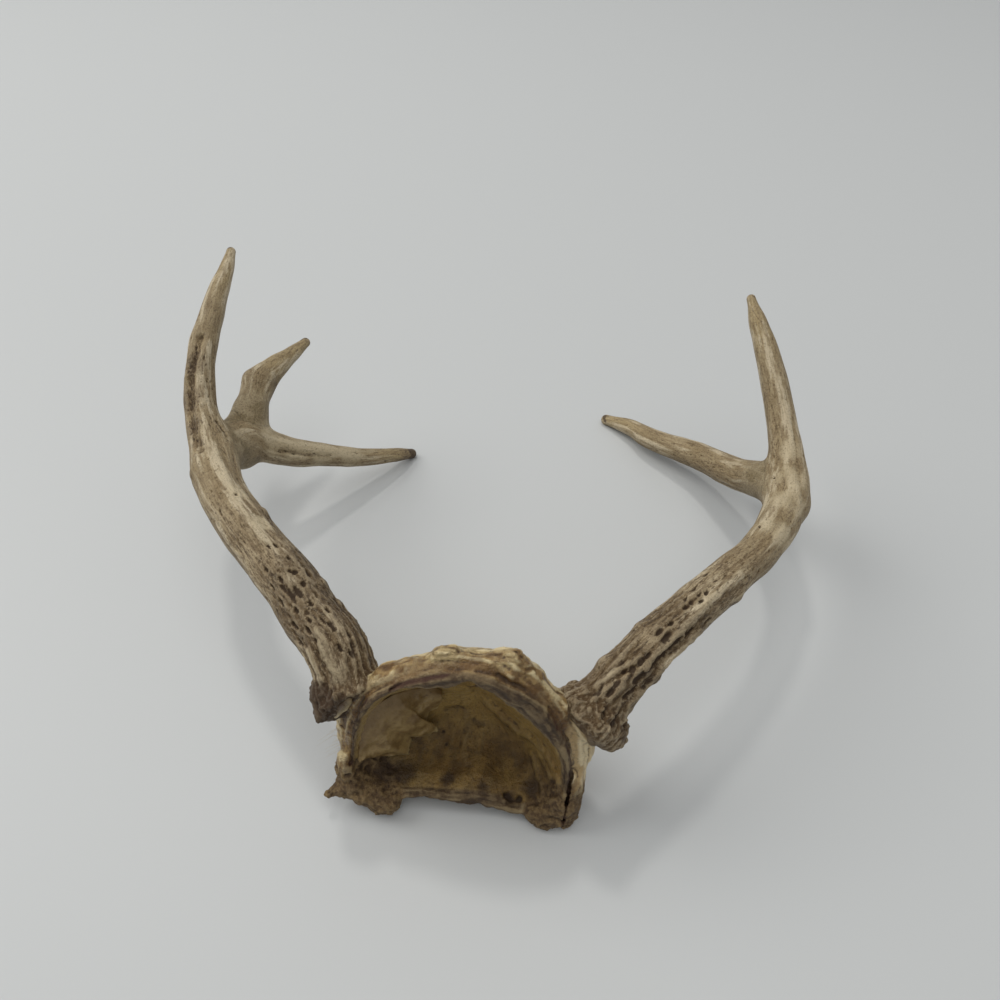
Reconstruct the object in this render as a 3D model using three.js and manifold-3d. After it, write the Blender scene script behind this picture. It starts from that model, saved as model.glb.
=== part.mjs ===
// A small white-tailed deer rack: two antlers on the cut skull plate, lying face down.
// It rests on the ends of both main beams and on the two broken lower corners of the plate.
// Millimetres, +Z up. The origin is on the surface it rests on, below the middle of its bounding box.
// +Y points away from the hollow of the braincase, towards the tines.

import * as THREE from 'three';
import { mergeVertices } from 'three/addons/utils/BufferGeometryUtils.js';
import Module from 'manifold-3d';

const wasm = await Module();
wasm.setup();

// ---------------------------------------------------------------- driving dimensions

const SPLIT_GAP = 0.3;          // between two pieces at a fork or a burr
const LIMB_SIDES = 18;          // corners of a beam's section
const LIMB_STEP = 5;            // spacing of the sections along a beam
const PLATE_SIDES = 52;         // points round the skull plate's outlines

// Stations along each limb: x, y, z of its middle and its diameter there.
const RIGHT_BEAM = [
  [24.3, -82.6, 43.0, 16.0], [35.5, -72.5, 48.0, 15.6], [43.0, -65.5, 50.0, 15.3],
  [58.0, -52.5, 52.0, 14.4], [72.0, -39.5, 51.0, 13.8], [87.0, -23.5, 48.0, 13.6],
  [100.0, -5.5, 43.5, 14.8], [106.0, 8.5, 41.5, 16.4], [108.0, 17.0, 42.0, 13.5],
];
const RIGHT_G2 = [
  [106.0, 10.0, 41.5, 15.0], [108.8, 21.5, 45.0, 12.8], [108.2, 33.0, 50.0, 10.8],
  [106.7, 49.0, 59.0, 10.0], [104.8, 60.0, 66.0, 9.2], [102.3, 68.5, 72.0, 7.6],
  [99.7, 78.0, 78.0, 3.4],
];
const RIGHT_TIP = [
  [105.5, 9.5, 40.0, 14.5], [103.5, 22.0, 32.5, 13.6], [97.5, 35.0, 24.0, 12.8],
  [86.5, 56.5, 14.0, 11.4], [70.0, 73.5, 8.0, 9.6], [62.5, 84.0, 5.4, 7.6],
  [52.0, 93.5, 2.2, 4.8],
];
const LEFT_BEAM = [
  [-39.6, -78.4, 44.0, 17.0], [-47.0, -63.2, 50.0, 16.2], [-53.8, -53.6, 53.0, 15.8],
  [-62.2, -43.0, 56.0, 15.2], [-75.0, -28.9, 58.0, 14.6], [-88.3, -12.5, 58.5, 14.8],
  [-97.0, 2.5, 57.5, 15.6], [-101.5, 13.5, 56.5, 15.4], [-104.0, 22.0, 57.5, 12.0],
];
const LEFT_G2 = [
  [-99.0, 7.0, 57.0, 14.0], [-103.8, 19.0, 59.0, 12.0], [-108.8, 33.0, 62.0, 10.6],
  [-110.8, 46.0, 68.0, 10.4], [-110.9, 54.5, 72.0, 10.0], [-109.8, 65.0, 77.0, 9.2],
  [-108.5, 75.5, 82.0, 8.4], [-106.7, 86.5, 86.0, 5.9], [-106.0, 94.5, 89.0, 3.4],
];
const LEFT_TIP = [
  [-98.5, 8.0, 56.0, 14.0], [-98.5, 20.5, 50.5, 14.2], [-96.5, 31.5, 43.5, 15.2],
  [-88.5, 37.5, 35.5, 13.2], [-81.5, 40.5, 30.5, 11.2], [-73.2, 45.5, 25.0, 9.7],
  [-65.0, 50.5, 19.0, 8.6], [-55.7, 56.5, 13.0, 7.4], [-46.0, 64.0, 7.0, 6.3],
  [-39.6, 70.0, 2.1, 4.4],
];
const LEFT_G3 = [
  [-97.0, 34.0, 43.5, 13.0], [-97.2, 43.0, 45.0, 12.6], [-97.4, 51.5, 47.0, 11.8],
  [-96.5, 61.5, 49.0, 13.2], [-92.0, 70.0, 51.0, 9.6], [-86.7, 77.5, 52.0, 6.4],
  [-81.9, 84.5, 53.0, 3.6],
];

// Where each tine is parted from the beam that carries it, as a length along the tine's own line.
const RIGHT_G2_CUT = 21;
const RIGHT_TIP_CUT = 24;
const LEFT_G2_CUT = 24;
const LEFT_TIP_CUT = 22;
const LEFT_G3_CUT = 13;

// Burrs: the rough ring at the foot of each antler.
const BURR_DIAMETER = 22;
const BURR_HEIGHT = 8;
const BURR_LOBES = 9;
const BURR_LOBE_DEPTH = 0.7;
const BURR_CLEARANCE = 1;
const PEDICLE_DIAMETER = 18.5;
const PEDICLE_NECK = 4;
const RIGHT_PEDICLE_FOOT = [15, -86, 38];
const LEFT_PEDICLE_FOOT = [-34, -82, 40];

// The skull plate has its own frame: u to the right, d into the plate, w up it.
const PLATE_ORIGIN = [-10, -91.5, 0];
const PLATE_YAW = THREE.MathUtils.degToRad(-6);
const PLATE_LEAN = THREE.MathUtils.degToRad(-10);

// Outlines of the plate in (u, w), clockwise from the top, fourteen matching points each.
const BELLY = [
  [4, 68], [13.5, 71], [22, 60], [30, 49], [37.5, 34], [38.5, 18], [33, 5.5],
  [-1, 5.5], [-33, 5.5], [-40.5, 15], [-40.5, 29], [-32.5, 49], [-23, 61], [-7, 69],
];
const RIM = [
  [0.5, 67], [12.5, 64.5], [21.5, 58], [28, 47], [32.5, 33], [33.5, 19], [30.5, 4],
  [-1, 3.5], [-31, 4], [-36, 18], [-34.5, 32], [-29, 48], [-20.5, 58.5], [-8.5, 66],
];
const OPENING = [
  [2, 62.5], [9, 59.5], [17, 53], [23, 45], [27.5, 33], [29, 20], [24, 8],
  [-1, 7.5], [-25, 9], [-31.5, 19], [-30, 34], [-25.5, 46], [-18.5, 54.5], [-8, 60.5],
];
const PLATE_CENTRE = [0, 32];

// Depth, scale of the outline about PLATE_CENTRE and shift along w, from the rim to the crown.
const VAULT_LEVELS = [[6, 1, 0], [13, 0.87, -4.5], [20, 0.68, -7], [25, 0.4, -8.5]];
const VAULT_CROWN = [27, 0, -9];
const HOLLOW_LEVELS = [[-4, 1.04, 0], [0, 1, 0], [6, 0.96, -1.5], [12, 0.84, -5], [17, 0.66, -8], [21, 0.38, -9.5]];
const HOLLOW_CROWN = [22.5, 0, -10];

// Broken lower corners, as blobs: middle, half sizes.
const CORNERS = [
  [[-36.5, -88.5, 7.2], [10, 8, 9]],
  [[17, -91, 6.8], [9.5, 8, 9]],
];
// The pointed splinter on the left corner.
const SPLINTER = [[-36, -89, 9, 9], [-45, -89.5, 9, 7.5], [-51.5, -89.8, 9.5, 3.2]];

// Brings the middle of the bounding box over the origin.
const CENTRING = [0.5, 1.4, 0];

const ANTLER_COLOUR = 0xa89472;
const SKULL_COLOUR = 0xb39a68;

// ---------------------------------------------------------------- solids

function solidFrom(geometry) {
  const bare = geometry.clone();
  bare.deleteAttribute('normal');
  bare.deleteAttribute('uv');
  const merged = mergeVertices(bare, 1e-4);
  const mesh = new wasm.Mesh({
    numProp: 3,
    vertProperties: new Float32Array(merged.attributes.position.array),
    triVerts: new Uint32Array(merged.index.array),
  });
  return new wasm.Manifold(mesh);
}

function geometryFrom(solid) {
  const mesh = solid.getMesh();
  const geometry = new THREE.BufferGeometry();
  geometry.setAttribute('position', new THREE.BufferAttribute(mesh.vertProperties, 3));
  geometry.setIndex(new THREE.BufferAttribute(mesh.triVerts, 1));
  geometry.computeVertexNormals();
  return geometry;
}

// Closes a stack of rings, each a list of points in the same turn, with a fan at both ends.
function stackedRings(rings, firstPole, lastPole) {
  const sides = rings[0].length;
  const positions = [firstPole, ...rings.flat(), lastPole].flatMap((p) => [p.x, p.y, p.z]);
  const last = rings.length * sides + 1;
  const at = (ring, side) => 1 + ring * sides + (side % sides);
  const index = [];
  for (let side = 0; side < sides; side++) {
    index.push(0, at(0, side + 1), at(0, side));
    index.push(last, at(rings.length - 1, side), at(rings.length - 1, side + 1));
    for (let ring = 0; ring < rings.length - 1; ring++) {
      index.push(at(ring, side), at(ring, side + 1), at(ring + 1, side));
      index.push(at(ring, side + 1), at(ring + 1, side + 1), at(ring + 1, side));
    }
  }
  const geometry = new THREE.BufferGeometry();
  geometry.setAttribute('position', new THREE.Float32BufferAttribute(positions, 3));
  geometry.setIndex(index);
  return geometry;
}

// A limb's line with its diameter, read by length from its first station.
class LimbLine {
  constructor(stations) {
    this.stations = stations;
    this.curve = new THREE.CatmullRomCurve3(stations.map(([x, y, z]) => new THREE.Vector3(x, y, z)));
    this.curve.arcLengthDivisions = 400;
    this.length = this.curve.getLength();
  }

  at(distance) {
    const u = THREE.MathUtils.clamp(distance / this.length, 0, 1);
    const place = this.curve.getUtoTmapping(u) * (this.stations.length - 1);
    const before = Math.min(Math.floor(place), this.stations.length - 2);
    const share = THREE.MathUtils.smoothstep(place - before, 0, 1);
    const diameter = THREE.MathUtils.lerp(this.stations[before][3], this.stations[before + 1][3], share);
    return { point: this.curve.getPointAt(u), tangent: this.curve.getTangentAt(u), radius: diameter / 2 };
  }
}

// A round section across a tangent, starting on the side that faces up.
function section(point, tangent, radius, sides, swell = () => 1) {
  const across = new THREE.Vector3(0, 0, 1).addScaledVector(tangent, -tangent.z).normalize();
  const beside = new THREE.Vector3().crossVectors(tangent, across);
  return Array.from({ length: sides }, (_, side) => {
    const angle = (side / sides) * 2 * Math.PI;
    return point.clone()
      .addScaledVector(across, radius * swell(angle) * Math.cos(angle))
      .addScaledVector(beside, radius * swell(angle) * Math.sin(angle));
  });
}

// The stretch of a limb between two lengths. A domed end closes with a half ball, a flat one is a cut.
function limb(line, from, to, { domed = true } = {}) {
  const steps = Math.max(2, Math.round((to - from) / LIMB_STEP));
  const rings = [];
  for (let step = 0; step <= steps; step++) {
    const { point, tangent, radius } = line.at(THREE.MathUtils.lerp(from, to, step / steps));
    rings.push(section(point, tangent, radius, LIMB_SIDES));
  }
  const start = line.at(from);
  const end = line.at(to);
  let pole = end.point;
  if (domed) {
    for (const angle of [Math.PI / 6, Math.PI / 3]) {
      const shifted = end.point.clone().addScaledVector(end.tangent, end.radius * Math.sin(angle));
      rings.push(section(shifted, end.tangent, end.radius * Math.cos(angle), LIMB_SIDES));
    }
    pole = end.point.clone().addScaledVector(end.tangent, end.radius);
  }
  return solidFrom(stackedRings(rings, start.point, pole));
}

// The ring of pearls at a beam's foot, from its cut face upwards.
function burr(line) {
  const { point, tangent } = line.at(0);
  const profile = [[0, 0.84], [0.2, 0.97], [0.5, 1], [0.8, 0.9], [1, 0.7]];
  const swell = (angle) => 1 + (BURR_LOBE_DEPTH / BURR_DIAMETER) * 2 * Math.cos(BURR_LOBES * angle);
  const rings = profile.map(([share, size]) => section(
    point.clone().addScaledVector(tangent, share * BURR_HEIGHT),
    tangent, (BURR_DIAMETER / 2) * size, LIMB_SIDES * 2, swell));
  return solidFrom(stackedRings(rings, point, point.clone().addScaledVector(tangent, BURR_HEIGHT)));
}

// The short stalk of bone that carries an antler, from inside the vault to just short of the burr.
function pedicle(line, root) {
  const { point, tangent } = line.at(0);
  const top = point.clone().addScaledVector(tangent, -SPLIT_GAP);
  const neck = top.clone().addScaledVector(tangent, -PEDICLE_NECK);
  const foot = new THREE.Vector3(...root);
  const radius = PEDICLE_DIAMETER / 2;
  const rings = [
    section(foot, tangent, radius * 1.15, LIMB_SIDES),
    section(neck, tangent, radius * 1.02, LIMB_SIDES),
    section(top, tangent, radius, LIMB_SIDES),
  ];
  return solidFrom(stackedRings(rings, foot, top));
}

// The space round a burr, which the skull plate stays out of.
function burrSpace(line) {
  const { point, tangent } = line.at(0);
  const low = point.clone().addScaledVector(tangent, -SPLIT_GAP);
  const high = point.clone().addScaledVector(tangent, BURR_DIAMETER);
  const radius = BURR_DIAMETER / 2 + BURR_CLEARANCE;
  const rings = [section(low, tangent, radius, LIMB_SIDES), section(high, tangent, radius, LIMB_SIDES)];
  return solidFrom(stackedRings(rings, low, high));
}

// ---------------------------------------------------------------- skull plate

const plateFrame = new THREE.Matrix4()
  .makeRotationFromEuler(new THREE.Euler(PLATE_LEAN, 0, PLATE_YAW, 'ZXY'))
  .setPosition(...PLATE_ORIGIN);

function outlineRing(outline, [depth, scale, shift]) {
  const curve = new THREE.CatmullRomCurve3(outline.map(([u, w]) => new THREE.Vector3(u, 0, w)), true);
  return Array.from({ length: PLATE_SIDES }, (_, k) => {
    const p = curve.getPoint(k / PLATE_SIDES);
    return new THREE.Vector3(
      PLATE_CENTRE[0] + (p.x - PLATE_CENTRE[0]) * scale,
      depth,
      PLATE_CENTRE[1] + (p.z - PLATE_CENTRE[1]) * scale + shift,
    ).applyMatrix4(plateFrame);
  });
}

function crownPoint([depth, , shift]) {
  return new THREE.Vector3(PLATE_CENTRE[0], depth, PLATE_CENTRE[1] + shift).applyMatrix4(plateFrame);
}

function vault() {
  const rings = [outlineRing(RIM, [0, 1, 0]), ...VAULT_LEVELS.map((level) => outlineRing(BELLY, level))];
  const middle = crownPoint([0, 0, 0]);
  return solidFrom(stackedRings(rings, middle, crownPoint(VAULT_CROWN)));
}

function hollow() {
  const rings = HOLLOW_LEVELS.map((level) => outlineRing(OPENING, level));
  const middle = crownPoint([HOLLOW_LEVELS[0][0], 0, 0]);
  return solidFrom(stackedRings(rings, middle, crownPoint(HOLLOW_CROWN)));
}

function blob([centre, half]) {
  const ball = new THREE.IcosahedronGeometry(1, 3);
  ball.scale(...half);
  ball.translate(...centre);
  return solidFrom(ball);
}

function splinter() {
  const line = new LimbLine(SPLINTER);
  return limb(line, 0, line.length);
}

// Everything below the surface it rests on.
function ground() {
  const block = new THREE.BoxGeometry(400, 400, 20);
  block.translate(0, 0, -10);
  return solidFrom(block);
}

// ---------------------------------------------------------------- assembly

const rightBeam = new LimbLine(RIGHT_BEAM);
const rightG2 = new LimbLine(RIGHT_G2);
const rightTip = new LimbLine(RIGHT_TIP);
const leftBeam = new LimbLine(LEFT_BEAM);
const leftG2 = new LimbLine(LEFT_G2);
const leftTip = new LimbLine(LEFT_TIP);
const leftG3 = new LimbLine(LEFT_G3);

const halfGap = SPLIT_GAP / 2;
const stub = (line, cut) => limb(line, 0, cut - halfGap, { domed: false });
const tine = (line, cut) => limb(line, cut + halfGap, line.length);

// A beam with its burr and the roots of the limbs that leave it at its fork.
function mainBeam(line, ...roots) {
  return roots.reduce((whole, root) => whole.add(root), limb(line, 0, line.length).add(burr(line)));
}

function skullPlate() {
  const added = [
    pedicle(rightBeam, RIGHT_PEDICLE_FOOT), pedicle(leftBeam, LEFT_PEDICLE_FOOT),
    splinter(), ...CORNERS.map(blob),
  ];
  const cleared = [hollow(), burrSpace(rightBeam), burrSpace(leftBeam)];
  const whole = added.reduce((sum, more) => sum.add(more), vault());
  return cleared.reduce((rest, less) => rest.subtract(less), whole);
}

const solids = {
  skull_plate: skullPlate(),
  left_main_beam: mainBeam(leftBeam, stub(leftG2, LEFT_G2_CUT), stub(leftTip, LEFT_TIP_CUT)),
  left_g2_tine: tine(leftG2, LEFT_G2_CUT),
  left_beam_tip: tine(leftTip, LEFT_TIP_CUT).add(stub(leftG3, LEFT_G3_CUT)),
  left_g3_tine: tine(leftG3, LEFT_G3_CUT),
  right_main_beam: mainBeam(rightBeam, stub(rightG2, RIGHT_G2_CUT), stub(rightTip, RIGHT_TIP_CUT)),
  right_g2_tine: tine(rightG2, RIGHT_G2_CUT),
  right_beam_tip: tine(rightTip, RIGHT_TIP_CUT),
};

const rack = new THREE.Group();
rack.position.set(...CENTRING);
for (const [name, solid] of Object.entries(solids)) {
  const material = new THREE.MeshStandardMaterial({
    color: name === 'skull_plate' ? SKULL_COLOUR : ANTLER_COLOUR,
    roughness: 0.6,
    metalness: 0,
  });
  const mesh = new THREE.Mesh(geometryFrom(solid.subtract(ground())), material);
  mesh.name = name;
  rack.add(mesh);
}

export default rack;
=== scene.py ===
"""A small white-tailed deer rack, two antlers grown on one skull plate, resting on a pale floor.

Shapes are worked out in millimetres in the row frame and made into meshes in metres. Each antler and the
skull plate is one continuous surface, taken from a distance field and then carved along its own grain."""

import math

import bpy
import numpy as np
from mathutils import Matrix, Vector


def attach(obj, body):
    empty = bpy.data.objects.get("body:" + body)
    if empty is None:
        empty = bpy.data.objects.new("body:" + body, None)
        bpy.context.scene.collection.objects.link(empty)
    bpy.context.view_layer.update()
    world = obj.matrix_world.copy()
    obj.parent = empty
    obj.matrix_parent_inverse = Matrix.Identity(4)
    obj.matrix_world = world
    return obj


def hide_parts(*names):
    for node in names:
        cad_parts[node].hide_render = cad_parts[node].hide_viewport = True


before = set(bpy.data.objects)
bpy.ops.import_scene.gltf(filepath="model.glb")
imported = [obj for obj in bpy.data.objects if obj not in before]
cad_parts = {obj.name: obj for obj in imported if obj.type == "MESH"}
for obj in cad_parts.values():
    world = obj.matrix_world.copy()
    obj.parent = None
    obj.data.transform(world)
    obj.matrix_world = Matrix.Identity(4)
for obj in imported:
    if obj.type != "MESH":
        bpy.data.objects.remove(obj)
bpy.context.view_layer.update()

MM = 0.001        # metres in a millimetre
FAR = 99.0        # a gap wider than any in the part, in millimetres

# ---------------------------------------------------------------- dimensions, in millimetres

CENTRING = np.array([0.5, 1.4, 0.0])     # middle of the bounding box over the origin

# Stations along each limb: x, y, z of its middle and its diameter there.
RIGHT_STEM = [
    (24.6, -81.6, 42.0, 16.0), (35.2, -72.1, 48.0, 15.0), (42.5, -64.9, 50.0, 14.5),
    (57.5, -52.0, 52.0, 13.8), (71.6, -39.1, 51.0, 13.3), (87.1, -23.6, 47.9, 12.8), (99.7, -5.3, 43.6, 14.1),
    (106.1, 8.5, 41.5, 14.6), (108.3, 21.5, 45.0, 12.3), (108.2, 33.0, 50.0, 10.8), (106.7, 49.0, 59.0, 10.0),
    (104.5, 60.0, 66.0, 9.0), (101.9, 68.5, 72.0, 7.2), (99.6, 78.0, 78.0, 3.4),
]
RIGHT_TIP = [
    (104.5, 2.0, 41.0, 10.0), (103.5, 20.3, 34.1, 15.0), (97.5, 35.0, 24.0, 12.8), (86.5, 56.5, 14.0, 11.4),
    (70.0, 73.5, 8.0, 9.6), (62.5, 84.0, 5.4, 7.6), (52.0, 93.5, 2.2, 4.8),
]
LEFT_STEM = [
    (-40.2, -77.0, 41.6, 17.0), (-46.7, -63.1, 50.1, 17.8), (-54.7, -54.0, 52.6, 17.8),
    (-63.1, -43.4, 55.6, 17.2), (-75.7, -29.2, 57.7, 16.0), (-88.7, -12.7, 58.4, 15.2),
    (-97.2, 2.4, 57.4, 14.9), (-103.1, 17.4, 58.5, 13.2), (-109.0, 33.0, 62.0, 11.1),
    (-110.8, 46.0, 68.0, 10.4), (-110.9, 54.5, 72.0, 10.0), (-109.5, 65.0, 77.0, 9.0),
    (-108.0, 75.4, 82.0, 7.7), (-106.3, 86.5, 86.0, 5.6), (-105.7, 94.5, 89.0, 3.5),
]
LEFT_TIP = [
    (-96.0, 2.0, 56.5, 9.0), (-98.0, 19.0, 51.0, 12.4), (-96.5, 31.5, 43.8, 13.0), (-88.5, 37.5, 35.7, 12.4),
    (-81.5, 40.5, 30.5, 11.2), (-73.2, 45.5, 25.0, 9.7), (-65.0, 50.5, 19.0, 8.6), (-55.7, 56.5, 13.0, 7.4),
    (-46.0, 64.0, 7.0, 6.3), (-39.6, 70.0, 2.1, 4.4),
]
LEFT_G3 = [
    (-97.2, 27.0, 42.6, 10.0), (-97.3, 43.5, 45.1, 12.4), (-97.4, 51.5, 47.0, 11.6),
    (-96.5, 61.5, 49.0, 13.0), (-91.5, 69.7, 51.0, 9.4), (-86.2, 77.1, 52.0, 6.4), (-81.2, 84.4, 53.0, 3.8),
]
LEFT_WEB = [
    (-104.5, 22.5, 52.0, 8.5), (-102.8, 31.0, 48.0, 8.5), (-99.8, 39.5, 45.8, 9.0), (-98.3, 46.5, 46.0, 9.0),
]

# Deep pits seen on the beams: x, y, z on the skin, half length along the beam, half width.
RIGHT_PITS = [
    (39.9, -75.2, 54.4, 3.0, 1.7), (43.5, -72.3, 54.8, 2.8, 1.2), (45.3, -70.6, 55.1, 3.0, 1.3),
    (47.8, -68.8, 55.2, 3.0, 1.3), (50.3, -66.5, 55.6, 2.8, 1.1), (52.3, -64.6, 56.1, 2.6, 0.9),
    (56.1, -61.5, 56.1, 2.2, 0.8), (38.1, -78.3, 52.4, 2.4, 1.0), (36.2, -79.7, 52.0, 2.6, 0.9),
    (48.7, -64.0, 57.8, 2.6, 1.6), (46.6, -62.3, 58.3, 1.8, 1.1), (37.7, -73.5, 55.8, 1.8, 1.1),
    (35.6, -73.7, 55.6, 1.4, 0.9), (60.0, -49.8, 59.1, 1.5, 0.8), (57.1, -52.6, 59.1, 2.0, 1.0),
    (60.1, -52.5, 58.9, 1.5, 0.9), (62.4, -49.1, 59.0, 1.7, 0.9), (55.0, -54.7, 59.0, 1.6, 0.8),
    (42.9, -69.4, 56.8, 1.8, 0.8), (40.8, -70.8, 56.5, 1.8, 0.7), (33.1, -77.1, 54.4, 2.0, 0.8),
    (31.1, -79.3, 53.5, 2.2, 0.9), (50.3, -59.6, 58.6, 1.4, 0.7), (100.2, 10.8, 46.5, 0.9, 0.8),
    (32.0, -84.5, 47.5, 3.6, 1.4), (29.5, -83.5, 50.5, 2.6, 1.0),
]
LEFT_PITS = [
    (-59.5, -45.2, 63.0, 1.3, 1.2), (-56.6, -49.1, 62.1, 1.4, 1.2), (-58.0, -51.1, 61.8, 3.2, 1.2),
    (-59.9, -51.6, 61.2, 3.8, 1.3), (-61.7, -50.3, 61.2, 2.6, 0.9), (-63.1, -47.5, 62.2, 1.8, 0.9),
    (-57.1, -59.7, 57.0, 2.3, 0.8), (-53.3, -61.9, 58.0, 2.2, 0.8), (-53.1, -59.7, 59.2, 1.4, 0.7),
    (-47.0, -61.4, 58.6, 2.8, 1.0), (-49.7, -59.6, 59.4, 1.8, 0.8), (-48.8, -56.7, 59.5, 1.6, 0.7),
    (-42.6, -63.3, 56.6, 1.6, 0.8), (-83.2, -16.4, 65.6, 0.9, 0.9), (-57.5, -56.2, 59.6, 1.8, 0.8),
    (-61.1, -45.1, 63.2, 0.9, 0.8), (-62.1, -52.9, 59.0, 2.0, 0.8), (-65.0, -48.8, 60.2, 1.6, 0.7),
    (-55.5, -63.3, 54.9, 1.9, 0.7), (-50.5, -65.1, 57.3, 1.4, 0.6), (-44.0, -67.4, 56.8, 1.8, 0.7),
    (-40.7, -68.5, 55.4, 1.8, 0.9), (-47.6, -50.8, 56.9, 1.8, 0.8), (-62.4, -40.3, 63.7, 1.7, 0.8),
    (-67.0, -35.8, 64.4, 1.4, 0.7), (-68.0, -43.8, 62.3, 2.0, 0.7), (-53.6, -54.9, 60.7, 1.6, 0.8),
]
# Small knobs that show on the outline: x, y, z, radius.
RIGHT_KNOBS = [
    (73.2, -45.3, 51.2, 1.1), (44.5, -72.0, 50.0, 1.5), (31.0, -69.5, 52.0, 2.1), (42.2, -59.0, 54.4, 1.1),
    (41.4, -72.8, 55.0, 1.6), (32.6, -86.0, 39.4, 2.9), (34.6, -84.6, 41.8, 2.0),
]
LEFT_KNOBS = [
    (-75.2, -20.0, 61.2, 1.2), (-52.4, -45.8, 58.0, 1.1), (-42.4, -58.8, 52.8, 1.2),
    (-112.6, 40.0, 69.4, 1.2), (-102.0, -0.8, 60.8, 1.3), (-47.4, -51.4, 55.3, 1.0), (-99.2, 61.0, 52.8, 2.3),
    (-92.8, 61.6, 52.4, 2.0), (-50.2, -74.8, 46.8, 2.0), (-47.2, -80.2, 42.0, 2.6), (-49.0, -77.6, 44.8, 1.8),
]
# Lines along the limbs: half width, height (below zero cuts in), points.
RIGHT_LINES = [
    (2.0, 0.45, [(104.5, -3.5, 49.7), (105.2, 7.2, 49.7), (106.9, 18.3, 50.4), (107.4, 27.5, 53.4),
        (107.3, 35.5, 57.2), (106.1, 46.1, 63.0), (104.0, 56.6, 69.1), (101.8, 65.5, 74.4)]),
    (1.6, 0.6, [(74.0, -41.7, 57.2), (67.0, -48.1, 58.2), (59.0, -56.0, 58.3), (50.9, -64.5, 56.9),
        (43.0, -71.0, 55.8), (36.0, -76.5, 54.4), (30.0, -80.0, 53.5)]),
    (1.1, 0.9, [(42.1, -72.6, 55.3), (39.8, -73.8, 55.3), (37.4, -74.5, 55.4), (35.0, -76.6, 54.8),
        (31.5, -80.5, 52.8)]),
    (1.2, 0.9, [(60.0, -60.5, 54.5), (51.0, -68.9, 52.6), (43.5, -75.0, 51.5), (37.0, -80.5, 49.0),
        (33.5, -84.5, 44.0)]),
    (1.0, 0.8, [(36.0, -75.0, 55.0), (30.5, -77.5, 53.8), (26.5, -80.5, 52.5)]),
    (1.0, 0.8, [(40.0, -70.0, 56.5), (33.0, -74.0, 55.2), (27.5, -76.5, 53.6)]),
]
LEFT_LINES = [
    (1.5, -0.4, [(-111.9, 45.4, 73.4), (-112.1, 40.4, 70.8), (-111.7, 34.0, 67.6), (-110.2, 27.4, 65.4)]),
    (1.9, -1.1, [(-110.5, 53.3, 76.9), (-111.4, 48.0, 74.5), (-111.8, 42.8, 72.0), (-111.7, 37.8, 69.5),
        (-111.0, 32.3, 67.0), (-109.6, 26.0, 65.2), (-107.2, 19.0, 64.2), (-104.6, 12.9, 63.6),
        (-101.3, 6.6, 64.4)]),
    (2.2, 0.6, [(-107.8, 51.6, 75.0), (-108.4, 43.5, 71.9), (-107.7, 36.1, 68.5), (-105.9, 27.9, 65.9),
        (-102.6, 18.4, 64.8), (-98.0, 8.5, 64.4), (-92.3, -2.2, 65.3), (-85.6, -14.1, 65.7),
        (-79.0, -23.5, 65.6), (-71.2, -34.2, 64.8)]),
    (0.8, -0.6, [(-100.0, 22.3, 62.7), (-96.8, 17.5, 60.9), (-93.4, 11.7, 60.0), (-89.6, 3.6, 60.5)]),
    (0.9, -0.5, [(-84.5, 33.1, 38.4), (-80.8, 35.4, 35.2), (-77.1, 37.5, 32.1), (-68.9, 43.2, 26.2)]),
    (2.2, 0.5, [(-50.0, -64.0, 58.2), (-45.5, -70.5, 55.8), (-42.6, -74.5, 53.5)]),
    (1.4, 0.8, [(-52.0, -66.5, 54.8), (-49.0, -72.5, 52.0), (-48.0, -78.0, 47.6)]),
]
# Patches with much dark grain: x, y, z, radius, how dark. On the left, the patch round the burr is painted
# shade, and the one by the tip is a painted contact shadow where it meets the floor.
RIGHT_DIRT = [(38, -76, 54, 13, 0.9), (54, -60, 58, 12, 0.75), (28, -80, 46, 12, 0.9), (70, -46, 50, 12, 0.4)]
LEFT_DIRT_AND_SHADE = [
    (-41, -62, 53, 15, 1.4), (-111, 30, 67, 6, 1.0), (-111.5, 44, 73, 6, 1.0), (-56, -57, 58, 13, 0.85),
    (-46, -78, 44, 12, 1.0), (-59, -42, 57, 10, 0.9), (-76, -26, 58, 9, 0.6), (-96, 62, 50, 7, 0.55),
    (-111, 38, 68, 10, 0.4), (-42, 68, 4, 9, 0.7), (-107, 18.5, 64, 4.5, 1.0), (-103.5, 11, 64, 3.5, 0.8),
]
# Painted highlights, pale patches on the tops of the beams: x, y, z, radius.
RIGHT_TOP_HIGHLIGHTS = [
    (93.0, -21.0, 53.0, 6.0), (101.5, -4.5, 50.0, 7.0), (106.0, 8.0, 49.5, 6.5), (107.5, 20.0, 51.0, 5.0),
]
LEFT_TOP_HIGHLIGHTS = [
    (-88.0, 36.5, 42.0, 7.0), (-80.0, 39.0, 36.5, 7.0), (-71.0, 43.0, 29.5, 6.5), (-62.0, 49.5, 22.0, 6.0),
    (-82.0, -14.0, 65.5, 4.0), (-72.5, -27.5, 64.5, 3.2),
]
# Dark brown patches: x, y, z, radius. Those round the burrs are painted shade, and those where the beam tips
# meet the floor are a painted contact shadow; the rest darken the tine tips.
RIGHT_STAINS_AND_SHADE = [
    (33.4, -84.5, 42.0, 3.8), (24.0, -80.0, 36.0, 7.0), (52.0, 93.0, 3.0, 2.2), (99.7, 78.2, 78.2, 1.6),
]
LEFT_STAINS_AND_SHADE = [
    (-48.5, -77.5, 44.0, 8.5), (-44.5, -80.0, 46.5, 7.0), (-42.5, -76.0, 36.0, 9.0), (-39.5, 69.5, 3.0, 4.0),
    (-81.6, 84.6, 53.4, 2.2), (-106.0, 94.6, 89.2, 1.8),
]

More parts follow.
